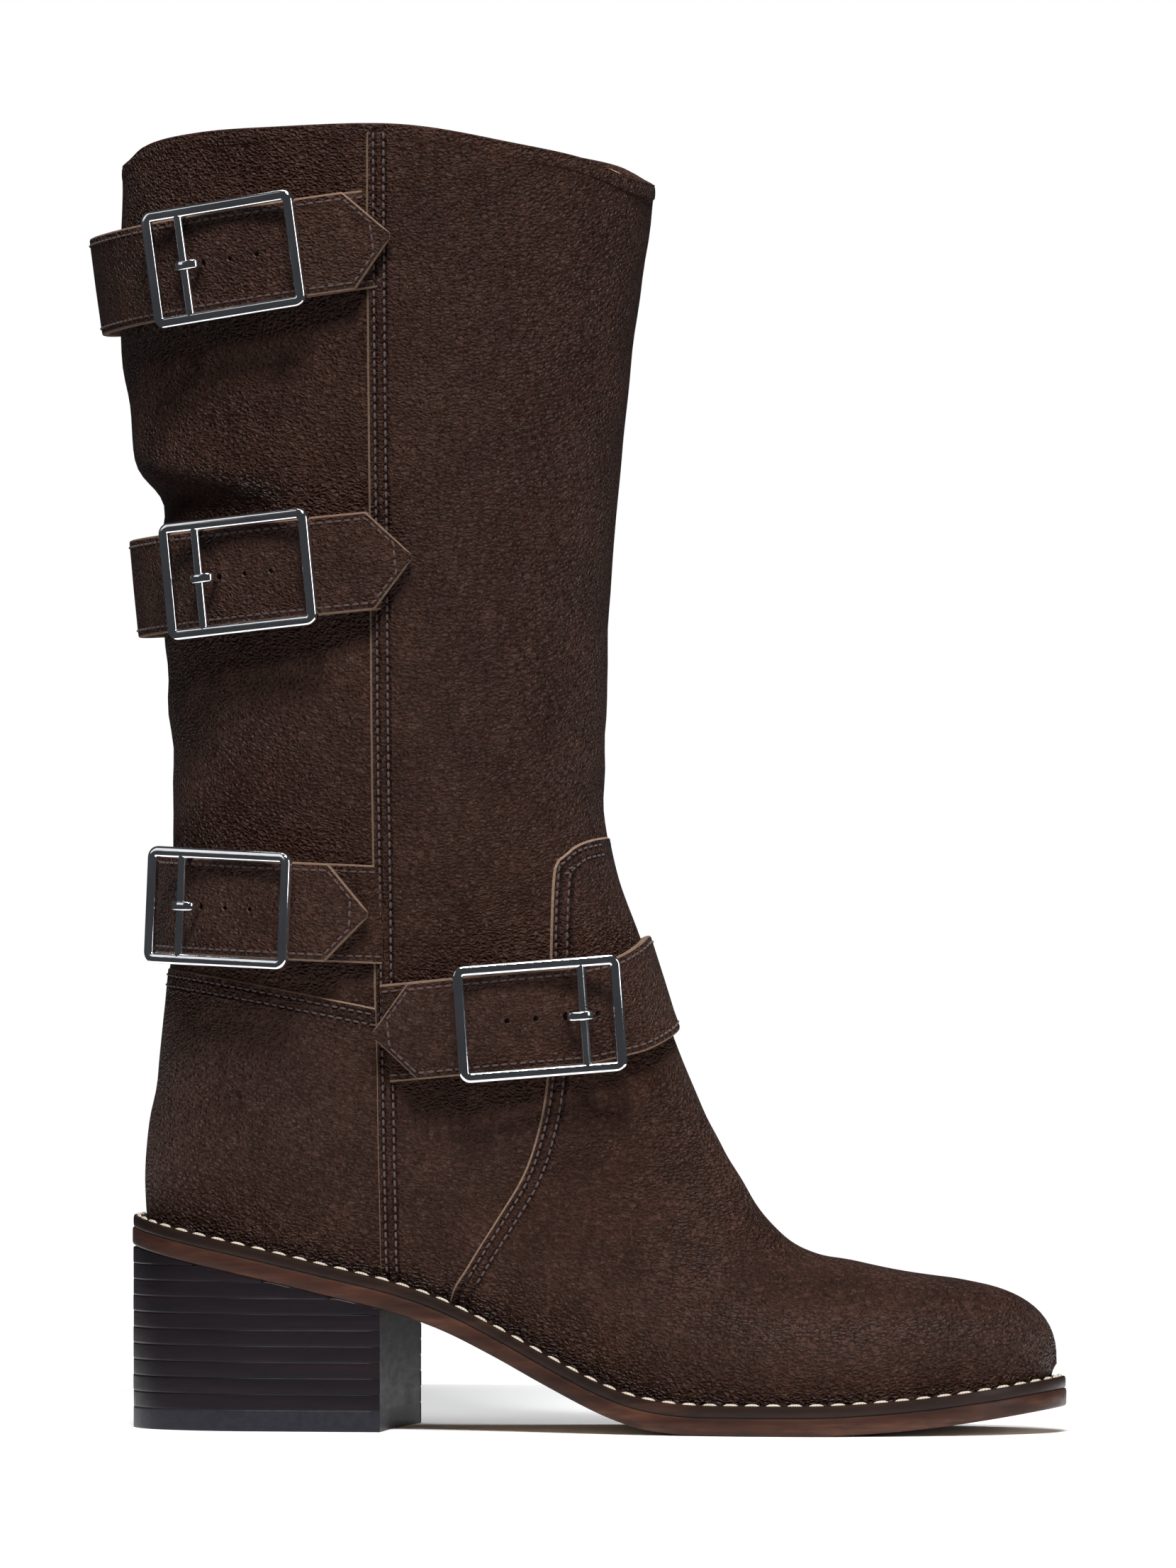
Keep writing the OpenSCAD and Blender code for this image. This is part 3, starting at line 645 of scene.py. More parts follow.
def stitches(name, places, tangents, normals, length, radius, material, sink=0.25):
    """Separate stitches: short rounded lengths of thread that dive in at both ends."""
    sides = 6
    along = (-0.5, -0.44, -0.25, 0, 0.25, 0.44, 0.5)
    fat = (0.35, 0.8, 1, 1.05, 1, 0.8, 0.35)
    verts, faces = [], []
    for place_at, tangent, normal in zip(places, tangents, normals):
        side = unit(np.cross(tangent, normal))
        up = unit(np.cross(side, tangent))
        faces += ring_faces(len(along), sides, len(verts))
        for s, r in zip(along, fat):
            centre = place_at + tangent * s * length - up * sink * radius * 2 * (2 * s) ** 4
            for k in range(sides):
                turn = 2 * math.pi * k / sides
                verts.append(centre + (side * math.cos(turn) + up * math.sin(turn)) * r * radius)
    obj = make(name, verts, faces, [material])
    mend(obj)
    return place(obj, "root", "welt_thread")


def on_side(tree, line, side):
    """A side-view line laid on a panel's outer face, and the face's normals."""
    points, normals = [], []
    for x, z in line:
        hit, normal, _, _ = tree.ray_cast(Vector((x, side * 120, z)), Vector((0, -side, 0)))
        if hit:
            points.append(hit)
            normals.append(normal)
    return np.array(points), np.array(normals)


def seam_row(name, tree, line, pitch, length, radius):
    """A row of stitches along a side-view line, on both sides of the boot."""
    places, tangents, normals = [], [], []
    for side in (-1, 1):
        points, facing = on_side(tree, line, side)
        s = length_along(points)
        at = (np.arange(int(s[-1] / pitch)) + 0.5) * pitch
        facing = unit(rows_at(at, s, facing))
        facing = np.where(facing[:, 1:2] * side < 0, -facing, facing)
        places.append(rows_at(at, s, points) + facing * radius * 0.25)
        tangents.append(tangents_at(at, s, points))
        normals.append(facing)
    stitches(name, np.vstack(places), np.vstack(tangents), np.vstack(normals), length, radius,
             BROWN_THREAD)


# ---- upper ----

SKIN = [BROWN, PANEL_EDGE, PANEL_EDGE]
LAPPED = [SEAMED, PANEL_EDGE, PANEL_EDGE]
PANEL_T = 1.8
BACK_OFF, HEEL_OFF, FRONT_OFF, VAMP_OFF = 0.0, 0.45, 0.75, 1.35
BODY = np.minimum(ABOVE_SOLE, BELOW_RIM)
LAP = 4
SKIVE = 1.6
FRONT_G = X - SEAM_X


def make_upper():
    """Makes the panels and layers, and returns the trees of those that carry seams."""
    # Each panel runs a few millimetres beneath the one that laps over it.
    behind = np.minimum(BODY, LAP - FRONT_G)
    back_g = np.minimum(behind, LAP - HEEL_G)
    for name, side in (("outer", -1), ("inner", 1)):
        panel(f"back_panel_{name}", np.minimum(back_g, side * Y), BACK_OFF, PANEL_T, SKIN,
              f"shaft_back_{name}", "brown_leather")
    heel = panel("heel_cover", np.minimum(behind, HEEL_G), HEEL_OFF, PANEL_T, LAPPED,
                 "heel_panel", "brown_leather", HEEL_G)
    front = panel("front_panel", np.minimum.reduce([BODY, FRONT_G, LAP - VAMP_G]), FRONT_OFF,
                  PANEL_T, LAPPED, "shaft_front", "brown_leather", FRONT_G)
    vamp = panel("vamp_panel", np.minimum(BODY, VAMP_G), VAMP_OFF, PANEL_T, LAPPED, "vamp",
                 "brown_leather", VAMP_G)
    panel("backer_layer", np.minimum.reduce([ABOVE_SOLE, BELOW_RIM - 5, 190 - X]), -2.0, 0.7,
          [BACKER] * 3, "shaft_backer", "backer_cloth")
    panel("toe_puff_layer", np.minimum(ABOVE_SOLE, X - 190.5), -1.0, 1.4, [STIFFENER] * 3,
          "toe_puff", "stiffener")
    counter = np.minimum.reduce([ABOVE_SOLE, 104 - Z, 52 - X - (Z - 50) * 0.6])
    panel("heel_counter_layer", counter, -1.45, 0.5, [STIFFENER] * 3, "heel_counter",
          "stiffener")
    panel("lining_layer", np.minimum(ABOVE_SOLE, BELOW_RIM - 0.5), -2.8, 1.0, [LINING] * 3,
          "lining", "lining_leather")
    return heel, front, vamp


HEEL_TREE, FRONT_TREE, VAMP_TREE = make_upper()


def offset_line(line, by):
    """A side-view line moved to its left by so many millimetres."""
    p = np.asarray(line, float)
    way = unit(np.gradient(p, axis=0))
    return np.stack([p[:, 0] - way[:, 1] * by, p[:, 1] + way[:, 0] * by], 1)


def make_seams():
    for k, step in enumerate(ROWS):
        side_seam = [(SEAM_X + step, z) for z in np.linspace(364.5, 44, 260)]
        # The vamp's edge without its ends, which the sole and the boot's front hide.
        vamp_edge = offset_line(VAMP_CURVE, -step)[14:86]
        heel_seam = spline(offset_line(SEAM_CURVE, -step), 30)
        for name, tree, line, sizes in (("side_seam", FRONT_TREE, side_seam, SEAM_STITCH),
                                        ("vamp", VAMP_TREE, vamp_edge, SEAM_STITCH),
                                        ("heel_cover", HEEL_TREE, heel_seam, HEEL_STITCH)):
            seam_row(f"{name}_stitches_{k + 1}", tree, line, *sizes)


make_seams()


# Section of the turned rim: distance out from the smooth shape, height above the rim line.
RIM_SECTION = [
    (-0.4, -4.4), (0.06, -3.9), (0.16, -3.1), (0.2, -2.2), (0.14, -1.0), (-0.2, -0.1),
    (-1.0, 0.5), (-2.2, 0.5), (-3.3, -0.3), (-3.9, -1.8), (-3.95, -4.8), (-3.4, -6)]


def make_rim():
    """The turned top edge: a soft roll that goes over the leather and the lining."""
    verts = []
    for k in range(ROUND):
        g = BELOW_RIM[:, k]
        u = int(np.argmax(g > 0))
        t = g[u - 1] / (g[u - 1] - g[u])
        base = P[u - 1, k] * (1 - t) + P[u, k] * t
        normal = unit(N[u, k] * np.array([1, 1, 0.05]))
        # On the front panel, the roll's outer half stands out as far as the panel does.
        extra = np.clip((base[0] - SEAM_X) / 6, 0, 1) * FRONT_OFF
        for out, up in RIM_SECTION:
            proud = out + W[u, k] + (extra if out > -1.3 else 0)
            verts.append(base + normal * proud + np.array([0, 0, up]))
    obj = make("turned_rim", verts, ring_faces(ROUND, len(RIM_SECTION), closed=True), [BROWN])
    mend(obj)
    place(obj, "root", "brown_leather")


make_rim()

# ---- sole and heel ----

OUTLINE = spline(FOOTPRINT, 40, closed=True)


def half_width(x, side):
    """The footprint's y at x, on one side."""
    tip = OUTLINE[np.argmax(OUTLINE[:, 0])][1]
    heel = OUTLINE[np.argmin(OUTLINE[:, 0])][1]
    cut = np.interp(OUTLINE[:, 0], [OUTLINE[:, 0].min(), OUTLINE[:, 0].max()], [heel, tip])
    part = OUTLINE[(OUTLINE[:, 1] - cut) * side >= 0]
    part = part[np.argsort(part[:, 0])]
    return np.interp(x, part[:, 0], part[:, 1])


def spread(x0, x1, count, ease_end=True):
    """Places along the boot, closer together near its rounded ends."""
    t = np.linspace(0, 1, count)
    t = (1 - np.cos(math.pi * t)) / 2 if ease_end else 1 - np.cos(math.pi * t / 2)
    return x0 + (x1 - x0) * t


def slab(name, xs, low, high, edge, materials, node, slot, across=8, inset=0.0, breast=0.0):
    """A layer of the sole or heel. edge lists (inset, share of the height) up its side."""
    ring_low = np.stack([xs, half_width(xs, -1)], 1)
    ring_high = np.stack([xs, half_width(xs, 1)], 1)
    outline = np.vstack([ring_low, ring_high[::-1]])
    outward = outward_of(outline)
    n = len(xs)

    def hollow(x, y):
        share = np.clip((x - xs[0]) / (BREAST_X - xs[0]), 0, 1) ** 10
        return x - breast * (1 - (y / HEEL_HALF) ** 2) * share

    verts, faces, slots = [], [], []
    for in_by, share in edge:
        ring = outline - outward * (in_by + inset)
        z = low(ring[:, 0]) * (1 - share) + high(ring[:, 0]) * share
        verts.extend(np.stack([hollow(ring[:, 0], ring[:, 1]), ring[:, 1], z], 1))
    count = 2 * n
    faces += ring_faces(len(edge), count, capped=False)
    slots += [0] * len(faces)
    for level, height in ((0, low), (len(edge) - 1, high)):
        first = level * count
        rows = []
        for k in range(n):
            a, b = first + k, first + count - 1 - k
            pa, pb = verts[a], verts[b]
            row = [a]
            for t in np.arange(1, across) / across:
                y = pa[1] * (1 - t) + pb[1] * t
                x = hollow(xs[k], y)
                x = min(max(x, min(pa[0], pb[0]) - abs(breast)), max(pa[0], pb[0]))
                verts.append(np.array([x, y, float(height(np.array([x]))[0])]))
                row.append(len(verts) - 1)
            rows.append(row + [b])
        for ra, rb in zip(rows[:-1], rows[1:]):
            for i in range(across):
                face = (ra[i], rb[i], rb[i + 1], ra[i + 1])
                faces.append(face if level else face[::-1])
                slots.append(1 if len(materials) > 1 else 0)
    if breast:
        # The breast end, where the outline is open between its two sides.
        top = (len(edge) - 1) * count
        start = len(edge) * count
        per_level = n * (across - 1)
        lower = [n - 1] + [start + (n - 1) * (across - 1) + i for i in range(across - 1)] + [n]
        upper = ([top + n - 1] + [start + per_level + (n - 1) * (across - 1) + i
                                  for i in range(across - 1)] + [top + n])
        # The side rows already close this end with flat strips, which the hollow face replaces.
        closing = {tuple(sorted((j * count + n - 1, j * count + n, (j + 1) * count + n,
                                 (j + 1) * count + n - 1))) for j in range(len(edge) - 1)}
        kept = [(f, s) for f, s in zip(faces, slots) if tuple(sorted(f)) not in closing]
        faces = [f for f, _ in kept]
        slots = [s for _, s in kept]
        for i in range(across):
            faces.append((lower[i], lower[i + 1], upper[i + 1], upper[i]))
            slots.append(0)
        left = [j * count + n - 1 for j in range(len(edge))]
        right = [j * count + n for j in range(len(edge))]
        faces += [tuple(left), tuple(right[::-1])]
        slots += [0, 0]
    obj = make(name, verts, faces, materials, slots)
    mend(obj)
    return place(obj, "root", slot, node)


ROUND_EDGE = [(0.55, 0), (0.15, 0.06), (0.0, 0.16), (0.0, 0.84), (0.15, 0.94), (0.55, 1)]
LIFT_EDGE = [(0.16, 0), (0.02, 0.05), (0.0, 0.12), (0.0, 0.88), (0.02, 0.95), (0.16, 1)]


def make_sole():
    xs = spread(OUTLINE[:, 0].min() + 0.02, OUTLINE[:, 0].max() - 0.02, 190)
    slab("outsole_layer", xs, sole_z, lambda x: sole_z(x) + OUTSOLE_T, ROUND_EDGE,
         [OUTSOLE, INSOLE], "outsole", "outsole_leather")
    # The welt is a little narrower, so that its join with the outsole shows as a line.
    slab("welt_layer", xs, lambda x: sole_z(x) + OUTSOLE_T, lambda x: sole_z(x) + SOLE_T,
         [(0.5, 0), (0.2, 0.1), (0.1, 0.3), (0.1, 0.7), (0.3, 0.93), (0.8, 1)], [WELT, WELT],
         "welt", "welt_leather", inset=0.15)
    for i in range(LIFTS + 1):
        z0 = 0 if i == 0 else TOP_LIFT_T + (i - 1) * LIFT_T
        z1 = TOP_LIFT_T if i == 0 else z0 + LIFT_T
        reach = np.linspace(HEEL_BACK, BREAST_X, 400)
        under = reach[sole_z(reach) > z0 + 0.3]
        end = min(BREAST_X, under[-1])
        node = "heel_top_lift" if i == 0 else f"heel_lift_{i:02d}"
        material = TOP_LIFT if i == 0 else STACK
        slot = "hard_rubber" if i == 0 else "stacked_leather"
        xs = spread(HEEL_BACK + 0.02, end, 70, ease_end=False)
        slab(f"{node}_layer", xs, lambda x, z0=z0: np.full(np.shape(x), float(z0)),
             lambda x, z1=z1, z0=z0: np.clip(sole_z(x), z0 + 0.1, z1), LIFT_EDGE, [material], node,
             slot, inset=0.25 + 0.05 * math.sin(i * 2.4),
             breast=BREAST_HOLLOW if end == BREAST_X else 0.0)


make_sole()


def make_welt_stitches():
    pitch, length, radius = WELT_STITCH
    ring = OUTLINE - outward_of(OUTLINE) * WELT_STITCH_INSET
    ring = np.vstack([ring, ring[:1]])
    line = np.column_stack([ring, sole_z(ring[:, 0]) + SOLE_T + 0.05])
    s = length_along(line)
    at = even_places(s[-1], pitch)
    normals = np.tile([0, 0, 1.0], (len(at), 1))
    obj = stitches("welt_stitches", rows_at(at, s, line), tangents_at(at, s, line, 0.4), normals,
                   length, radius, CREAM_THREAD, 0.45)
    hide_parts("welt_stitching")


make_welt_stitches()

# ---- straps ----

SHAFT = np.array([(s[1], (s[0] + s[2]) / 2, (s[2] - s[0]) / 2, s[4])
                  for s in STATIONS if s[3] >= 140][::-1])


def lookup(x, table):
    table = np.array(table, float)
    return np.interp(x, table[:, 0], table[:, 1])


def shaft_oval(z):
    return [np.interp(z, SHAFT[:, 0], SHAFT[:, k]) for k in (1, 2, 3)]


def strap_clear(b, f):
    return lookup(f, [(70, 2.2), (84, 3), (98, 5.2), (112, 6.4), (140, 6.4), (180, b[4]),
                      (225, max(b[4] - 2.5, 1.1)), (262, 1.1), (280, 1.1)])


def strap_point(b, f, clear):
    c0, a0, _ = shaft_oval(b[0])
    z = b[0] + b[1] * (c0 + (a0 + clear) * math.cos(math.radians(f)))
    c, a, w = shaft_oval(z)
    return np.array([c + (a + clear) * math.cos(math.radians(f)),
                     -(w + clear) * math.sin(math.radians(f)), z])


def strap_frame(b, f, clear):
    """(point, outward, up) at angle f."""
    up = unit(np.array([-b[1], 0, 1.0]))
    step = strap_point(b, f + 0.5, clear) - strap_point(b, f - 0.5, clear)
    out = unit(np.cross(up, step))
    return strap_point(b, f, clear), out, up


def ankle_clear(t):
    return lookup(t, [(86, 3.2), (100, 5.2), (116, 6.6), (140, 6.4), (165, 2.9), (180, 2.0),
                      (270, 2.0)])


def ankle_point(t, clear, across):
    low, up = oval(STATIONS[ANKLE_LOW], t, clear), oval(STATIONS[ANKLE_UP], t, clear)
    at = across - lookup(t, ANKLE_SAG) / np.linalg.norm(up - low)
    return low * (1 - at) + up * at


def ankle_frame(t, clear):
    way = unit(ankle_point(t + 0.5, 1, 0.5) - ankle_point(t - 0.5, 1, 0.5))
    out = unit(np.cross(way, ankle_point(t, 1, 1) - ankle_point(t, 1, 0)))
    return ankle_point(t, clear, 0.5), out, np.cross(out, way)


def station_at(i, f, clear):
    return ankle_frame(f, clear) if i == 4 else strap_frame(BACK_STRAPS[i - 1], f, clear)


def clear_at(i, f):
    return ankle_clear(f) if i == 4 else strap_clear(BACK_STRAPS[i - 1], f)


def buckle_axes(i):
    """The buckle's own frame: origin on the centre bar's line, x to the tip, y in, z across."""
    f = ANKLE_BUCKLE if i == 4 else BACK_STRAPS[i - 1][3]
    c = clear_at(i, f)
    point, out, up = station_at(i, f, c)
    seat = station_at(i, f, c + STRAP_T)[0]
    y = -out
    x = unit(np.cross(y, up * (-1 if i == 4 else 1)))
    z = np.cross(x, y)
    return seat - x * SEAT_X, x, y, z


def band(name, stations, halves, thickness):
    """A strap of soft-edged rectangular section through its stations."""
    # Section, from the inner face: (share of the half width, inset, share of the thickness).
    section = [(-1, 0.5, 0.0), (-1, 0.12, 0.1), (-1, 0, 0.3), (-1, 0, 0.72), (-1, 0.15, 0.92),
               (-1, 0.55, 1.0), (-0.8, 0, 1.02), (0, 0, 1.05), (0.8, 0, 1.02), (1, 0.55, 1.0),
               (1, 0.15, 0.92), (1, 0, 0.72), (1, 0, 0.3), (1, 0.12, 0.1), (1, 0.5, 0.0),
               (0, 0, 0.0)]
    m = len(section)
    verts = []
    for (point, out, up), half in zip(stations, halves):
        for side, inset, share in section:
            across = side * half - math.copysign(min(inset, half), side)
            verts.append(point + up * across + out * thickness * share)
    # Grain on the four faces that look out, and raw leather on the rest.
    slots = [0 if 5 <= k <= 8 else 1 for k in range(m)] * (len(stations) - 1) + [1, 1]
    obj = make(name, verts, ring_faces(len(stations), m), [STRAP_LEATHER, STRAP_EDGE], slots)
    mend(obj)
    return obj


TIP_LEN = 11.5


def strap_stations(i):
    """Stations from the tip to the inner seam, with half widths, and the distances from the tip."""
    tip = ANKLE_TIP if i == 4 else BACK_STRAPS[i - 1][2]
    end = 271 if i == 4 else 275
    angles = np.concatenate([np.linspace(tip, tip + 14, 36)[:-1], np.linspace(tip + 14, end, 150)])
    wave = 0.35 if i != 3 else 0.15
    stations, halves, runs = [], [], []
    run, before = 0.0, None
    for f in angles:
        c = clear_at(i, f) + wave * math.sin(f * 0.11 + i) * (1 if f > 150 else 0.25)
        c = c - 2.9 * float(np.clip((f - (end - 14)) / 12, 0, 1))
        point, out, up = station_at(i, f, c)
        if before is not None:
            run += np.linalg.norm(point - before)
        before = point
        halves.append(min(STRAP_W / 2, 0.9 + (STRAP_W / 2 - 0.9) * run / TIP_LEN))
        stations.append((point, out, up))
        runs.append(run)
    return stations, halves, runs


def cut_holes(obj, i):
    origin, x, y, z = buckle_axes(i)
    cutters = []
    for at, r in HOLES:
        centre = origin + x * at
        ring = [centre + (x * math.cos(a) + z * math.sin(a)) * r
                for a in np.linspace(0, 2 * math.pi, 17)[:-1]]
        verts = [p + y * -3 for p in ring] + [p + y * 8 for p in ring]
        faces = [tuple(range(16)), tuple(range(31, 15, -1))]
        faces += [(k, 16 + k, 16 + (k + 1) % 16, (k + 1) % 16) for k in range(16)]
        cutter = make("cutter", verts, faces, [STRAP_EDGE])
        mend(cutter)
        cutters.append(cutter)
    for cutter in cutters:
        mod = obj.modifiers.new("hole", "BOOLEAN")
        mod.operation, mod.object, mod.solver = "DIFFERENCE", cutter, "EXACT"
    scene_graph = bpy.context.evaluated_depsgraph_get()
    mesh = bpy.data.meshes.new_from_object(obj.evaluated_get(scene_graph))
    obj.modifiers.clear()
    obj.data = mesh
    mesh.set_sharp_from_angle(angle=math.radians(45))
    for cutter in cutters:
        bpy.data.objects.remove(cutter)


def strap_stitches(name, stations, halves, runs, thickness, round_tip, first=0.0):
    """One row of stitches a little inside the strap's edges, round its tip."""
    rows = []
    for sign in (1, -1):
        side = [p + up * sign * max(h - STRAP_STITCH_INSET, 0) + out * (thickness + 0.05)
                for (p, out, up), h, r in zip(stations, halves, runs) if r >= first]
        rows.append(np.array(side))
    facing = np.array([out for (p, out, up), r in zip(stations, runs) if r >= first])
    parts = [(rows[0], facing), (rows[1], facing)]
    if round_tip:
        parts = [(np.vstack([rows[0][::-1], rows[1]]), np.vstack([facing[::-1], facing]))]
    pitch, length, radius = STRAP_STITCH
    places, tangents, normals = [], [], []
    for path, ups in parts:
        s = length_along(path)
        at = even_places(s[-1], pitch)
        places.append(rows_at(at, s, path))
        tangents.append(tangents_at(at, s, path))
        normals.append(unit(rows_at(at, s, ups)))
    stitches(name, np.vstack(places), np.vstack(tangents), np.vstack(normals), length, radius,
             BROWN_THREAD)


def make_straps():
    for i in (1, 2, 3, 4):
        stations, halves, runs = strap_stations(i)
        obj = band(f"strap_{i}_leather", stations, halves, STRAP_T)
        cut_holes(obj, i)
        place(obj, "root", "strap_leather", f"strap_{i}")
        strap_stitches(f"strap_{i}_stitches", stations, halves, runs, STRAP_T * 1.03, True, 4.5)


make_straps()


def make_anchors():
    """Short straps from the side seam, beneath the buckled ones, to the buckles' rear bars."""
    for i in (1, 2, 3, 4):
        origin, x, y, z = buckle_axes(i)
        b = None if i == 4 else BACK_STRAPS[i - 1]
        if i == 4:
            first, last = 91, ANKLE_BUCKLE + 4
        else:
            c, a, _ = shaft_oval(b[0])
            first = 90 - math.degrees(math.asin((SEAM_X + 2.5 - c) / a))
            last = b[3] + 5
        angles = np.linspace(first, last, 40)
        stations, halves, runs = [], [], []
        for f in angles:
            c = lookup(f, [(80, 0.5), (95, 0.5), (115, 0.7), (140, 1)])
            if i == 4:
                c = c + 0.75
            else:
                c = c - 2.2 * float(np.clip((first + 5 - f) / 5, 0, 1)) + 0.1
            stations.append(station_at(i, f, c))
            halves.append(STRAP_W / 2)
            runs.append(0.0 if not runs else runs[-1] + np.linalg.norm(
                stations[-1][0] - stations[-2][0]))
        end = origin + x * (REAR_BAR_R + 0.45) + y * (REAR_BAR_Y + ANCHOR_T / 2)
        up = stations[-1][2]
        bridge = [(stations[-1][0] * (1 - t) + end * t, -y, up) for t in (0.5, 1.0)]
        halves_all = halves + [12.4, LOOP_HALF]
        obj = band(f"strap_anchor_{i}_leather", stations + bridge, halves_all, ANCHOR_T)
        # The loop round the rear bar.
        loop_verts, loop_faces = [], []
        turns = np.linspace(0, 2 * math.pi, 25)[:-1]
        for across in (-LOOP_HALF, LOOP_HALF):
            for r in (REAR_BAR_R + LOOP_GAP, REAR_BAR_R + LOOP_WALL):
                for a in turns:
                    loop_verts.append(origin + x * math.cos(a) * r
                                      + y * (REAR_BAR_Y + math.sin(a) * r) + z * across)
        n = len(turns)
        for k in range(n):
            k2 = (k + 1) % n
            loop_faces += [(k, k2, n + k2, n + k), (2 * n + k, 3 * n + k, 3 * n + k2, 2 * n + k2),
                           (k, 2 * n + k, 2 * n + k2, k2),
                           (n + k, n + k2, 3 * n + k2, 3 * n + k)]
        loop = make(f"anchor_loop_{i}", loop_verts, loop_faces, [STRAP_LEATHER])
        mend(loop)
        place(loop, "root", "strap_leather")
        place(obj, "root", "strap_leather", f"strap_anchor_{i}")
        strap_stitches(f"strap_anchor_{i}_stitches", stations, halves, runs, ANCHOR_T * 1.03,
                       False)


make_anchors()

# ---- buckles ----


def rounded_section(width, depth, r, steps=4):
    """A rectangle with round corners, as (side, depth) rows about its middle."""
    rows = []
    for cx, cz, start in ((1, 1, 0), (-1, 1, 90), (-1, -1, 180), (1, -1, 270)):
        for k in range(steps + 1):
            a = math.radians(start + 90 * k / steps)
            rows.append((cx * (width / 2 - r) + r * math.cos(a), cz * (depth / 2 - r) + r * math.sin(a)))
    return rows


def tube(centres, ups, sides, section, closed=False):
    """Vertices and faces of a section swept along a path. Its rows are (side, up)."""
    verts = [tuple(np.array(c) + np.array(s) * a + np.array(u) * d)
             for c, u, s in zip(centres, ups, sides) for a, d in section]
    return verts, ring_faces(len(centres), len(section), closed=closed)


def join(parts):
    verts, faces = [], []
    for v, f in parts:
        first = len(verts)
        verts.extend(v)
        faces.extend(tuple(first + k for k in face) for face in f)
    return verts, faces


def buckle_piece(name, i, parts, body, node):
    verts, faces = join(parts)
    origin, x, y, z = buckle_axes(i)
    world = [origin + x * v[0] + y * v[1] + z * v[2] for v in verts]
    obj = make(name, world, faces, [CHROME])
    mend(obj, 50, weld=False)
    place(obj, body, "buckle_metal", node)


def make_buckles():
    inset = BUCKLE_RIM / 2
    corner = 1.7
    x0, x1 = FRAME_LEFT + inset, FRAME_LEFT + BUCKLE_LEN - inset
    z1 = BUCKLE_H / 2 - inset
    path, normals = [], []
    for cx, cz, start in ((x1, z1, 0), (x0, z1, 90), (x0, -z1, 180), (x1, -z1, 270)):
        sx, sz = (1 if cx == x1 else -1), (1 if cz == z1 else -1)
        for k in range(7):
            a = math.radians(start + 90 * k / 6)
            normals.append((math.cos(a), 0, math.sin(a)))
            path.append((cx - sx * corner + corner * math.cos(a), 0,
                         cz - sz * corner + corner * math.sin(a)))
    rim = [(a, BAR_Y + d) for a, d in rounded_section(BUCKLE_RIM, FRAME_T, 0.85)]
    bar_round = [(BAR_R * math.cos(a), BAR_R * math.sin(a))
                 for a in np.linspace(0, 2 * math.pi, 25)[:-1]]
    rear_round = [(REAR_BAR_R * math.cos(a), REAR_BAR_R * math.sin(a))
                  for a in np.linspace(0, 2 * math.pi, 21)[:-1]]
    reach = BUCKLE_H / 2 - 1.4
    leg = rounded_section(3.0, 1.8, 0.4)
    for i in (1, 2, 3, 4):
        bar = tube([(0, BAR_Y, -reach), (0, BAR_Y, reach)], [(0, 1, 0)] * 2, [(1, 0, 0)] * 2, bar_round)
        rear = tube([(0, REAR_BAR_Y, -reach), (0, REAR_BAR_Y, reach)], [(0, 1, 0)] * 2,
                    [(1, 0, 0)] * 2, rear_round)
        legs = [tube([(0, BAR_Y + 0.3, s * 15.1), (0, REAR_BAR_Y + 1.0, s * 15.1)],
                     [(0, 0, 1)] * 2, [(1, 0, 0)] * 2, leg) for s in (-1, 1)]
        outer = tube(path, [(0, 1, 0)] * len(path), normals, rim, closed=True)
        buckle_piece(f"buckle_{i}_frame", i, [outer, bar, rear] + legs, f"frame_{i}",
                     f"buckle_frame_{i}")
        # The prong wraps the bar, runs flat over it and turns down into the strap's hole.
        turn = [(-1.5, -0.9), (-2.15, -1.7), (-2.05, -2.7), (-1.4, -3.5), (-0.4, -3.85), (1.2, -3.95),
                (2.9, -3.85), (3.75, -3.45), (4.1, -2.6), (4.1, -1.2), (4.1, 0.6), (4.1, 1.2)]
        line = spline(turn, 3)
        way = unit(np.gradient(line, axis=0))
        flat = rounded_section(2.5, 1.15, 0.5)
        centres = [(p[0], p[1], 0) for p in line]
        ups = [(-w[1], w[0], 0) for w in way]
        prong = tube(centres, ups, [(0, 0, 1)] * len(line), flat)
        buckle_piece(f"buckle_{i}_prong", i, [prong], f"prong_{i}", f"buckle_prong_{i}")


make_buckles()


# ---- hidden pieces that keep their solid ----

KEPT = {
    "cork_filler": CORK, "shank": STEEL, "heel_nails": STEEL, "insole_board": INSOLE,
    "sock_liner": LINING}


def dress_kept():
    for name, material in KEPT.items():
        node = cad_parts[name]
        node.data.materials.clear()
        node.data.materials.append(material)


dress_kept()

# ---- floor, light and camera ----

TARGET = Vector((0.092, 0.0, 0.182))
DISTANCE = 4.2
AZIMUTH = math.radians(10)
FRAME_WIDTH = 0.3318


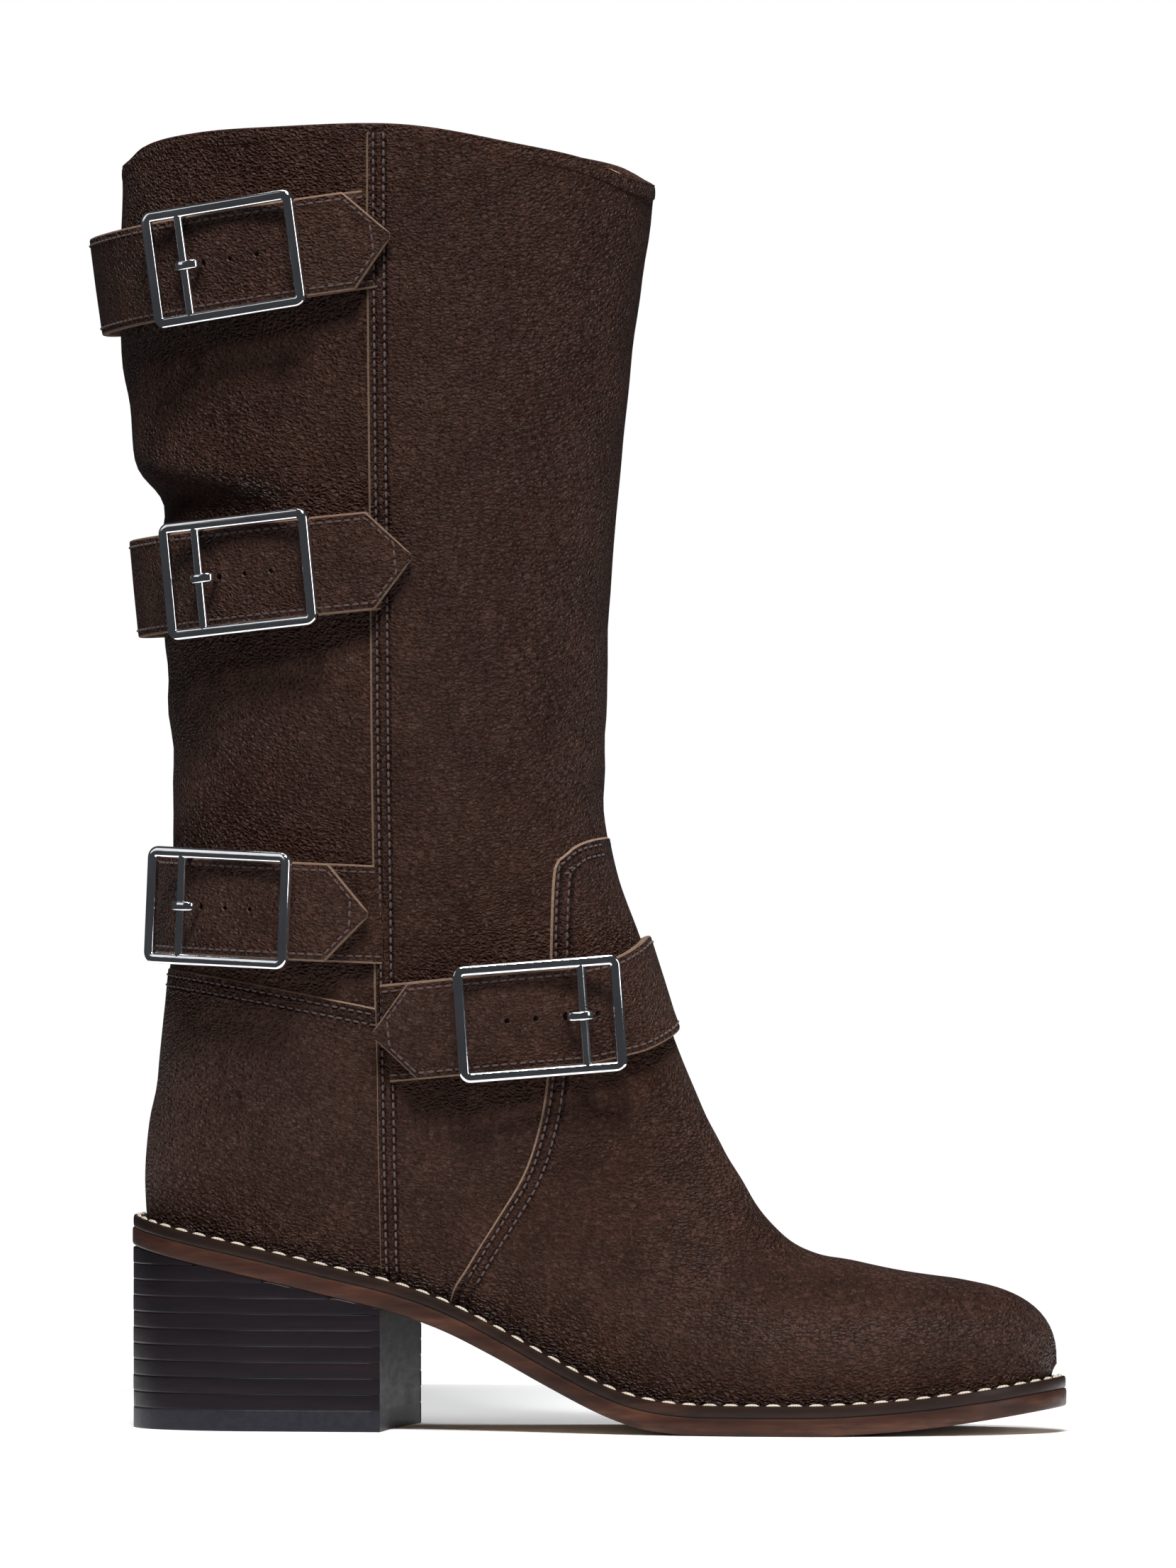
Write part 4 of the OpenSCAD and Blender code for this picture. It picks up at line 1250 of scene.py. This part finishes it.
def make_stage():
    size, middle = 0.3, 0.09
    mesh = bpy.data.meshes.new("floor")
    mesh.from_pydata([(middle + size * x, size * y, 0) for x, y in ((-1, -1), (1, -1), (1, 1), (-1, 1))],
                     [], [(0, 1, 2, 3)])
    mesh.materials.append(Nodes("pale_floor", (0.9, 0.9, 0.9), 0.8).mat)
    floor = bpy.data.objects.new("floor", mesh)
    bpy.context.scene.collection.objects.link(floor)
    world = bpy.data.worlds.new("studio")
    world.use_nodes = True
    nodes, links = world.node_tree.nodes, world.node_tree.links
    room = nodes["Background"]
    room.inputs["Color"].default_value = (0.86, 0.92, 1, 1)
    room.inputs["Strength"].default_value = 0.05
    # The room is dim for the boot, and white where it is seen directly.
    white = nodes.new("ShaderNodeBackground")
    white.inputs["Color"].default_value = WHITE
    white.inputs["Strength"].default_value = 1.0
    path, mix = nodes.new("ShaderNodeLightPath"), nodes.new("ShaderNodeMixShader")
    links.new(path.outputs["Is Camera Ray"], mix.inputs["Fac"])
    links.new(room.outputs["Background"], mix.inputs[1])
    links.new(white.outputs["Background"], mix.inputs[2])
    links.new(mix.outputs["Shader"], nodes["World Output"].inputs["Surface"])
    bpy.context.scene.world = world


def light(name, at, size, power, aim=(0.06, 0, 0.16)):
    data = bpy.data.lights.new(name, "AREA")
    data.shape, data.size, data.size_y, data.energy = "RECTANGLE", size[0], size[1], power
    obj = bpy.data.objects.new(name, data)
    obj.location = at
    obj.rotation_euler = (Vector(aim) - Vector(at)).to_track_quat("-Z", "Y").to_euler()
    bpy.context.scene.collection.objects.link(obj)


def make_camera():
    data = bpy.data.cameras.new("camera")
    data.sensor_fit = "HORIZONTAL"
    data.lens = data.sensor_width * DISTANCE / FRAME_WIDTH
    camera = bpy.data.objects.new("camera", data)
    camera.location = TARGET + Vector((math.sin(AZIMUTH), -math.cos(AZIMUTH), 0)) * DISTANCE
    camera.rotation_euler = (TARGET - camera.location).to_track_quat("-Z", "Y").to_euler()
    bpy.context.scene.collection.objects.link(camera)
    bpy.context.scene.camera = camera


make_stage()
light("key", (0.3, -1.35, 2.05), (0.8, 0.5), 86)
light("side", (2.2, -0.9, 0.7), (0.8, 1.2), 14)
light("fill", (-1.9, -1.3, 1.0), (0.8, 1.3), 3)
light("top", (0.0, 0.3, 2.1), (1.6, 1.2), 34)
make_camera()
bpy.context.scene.view_settings.view_transform = "Standard"
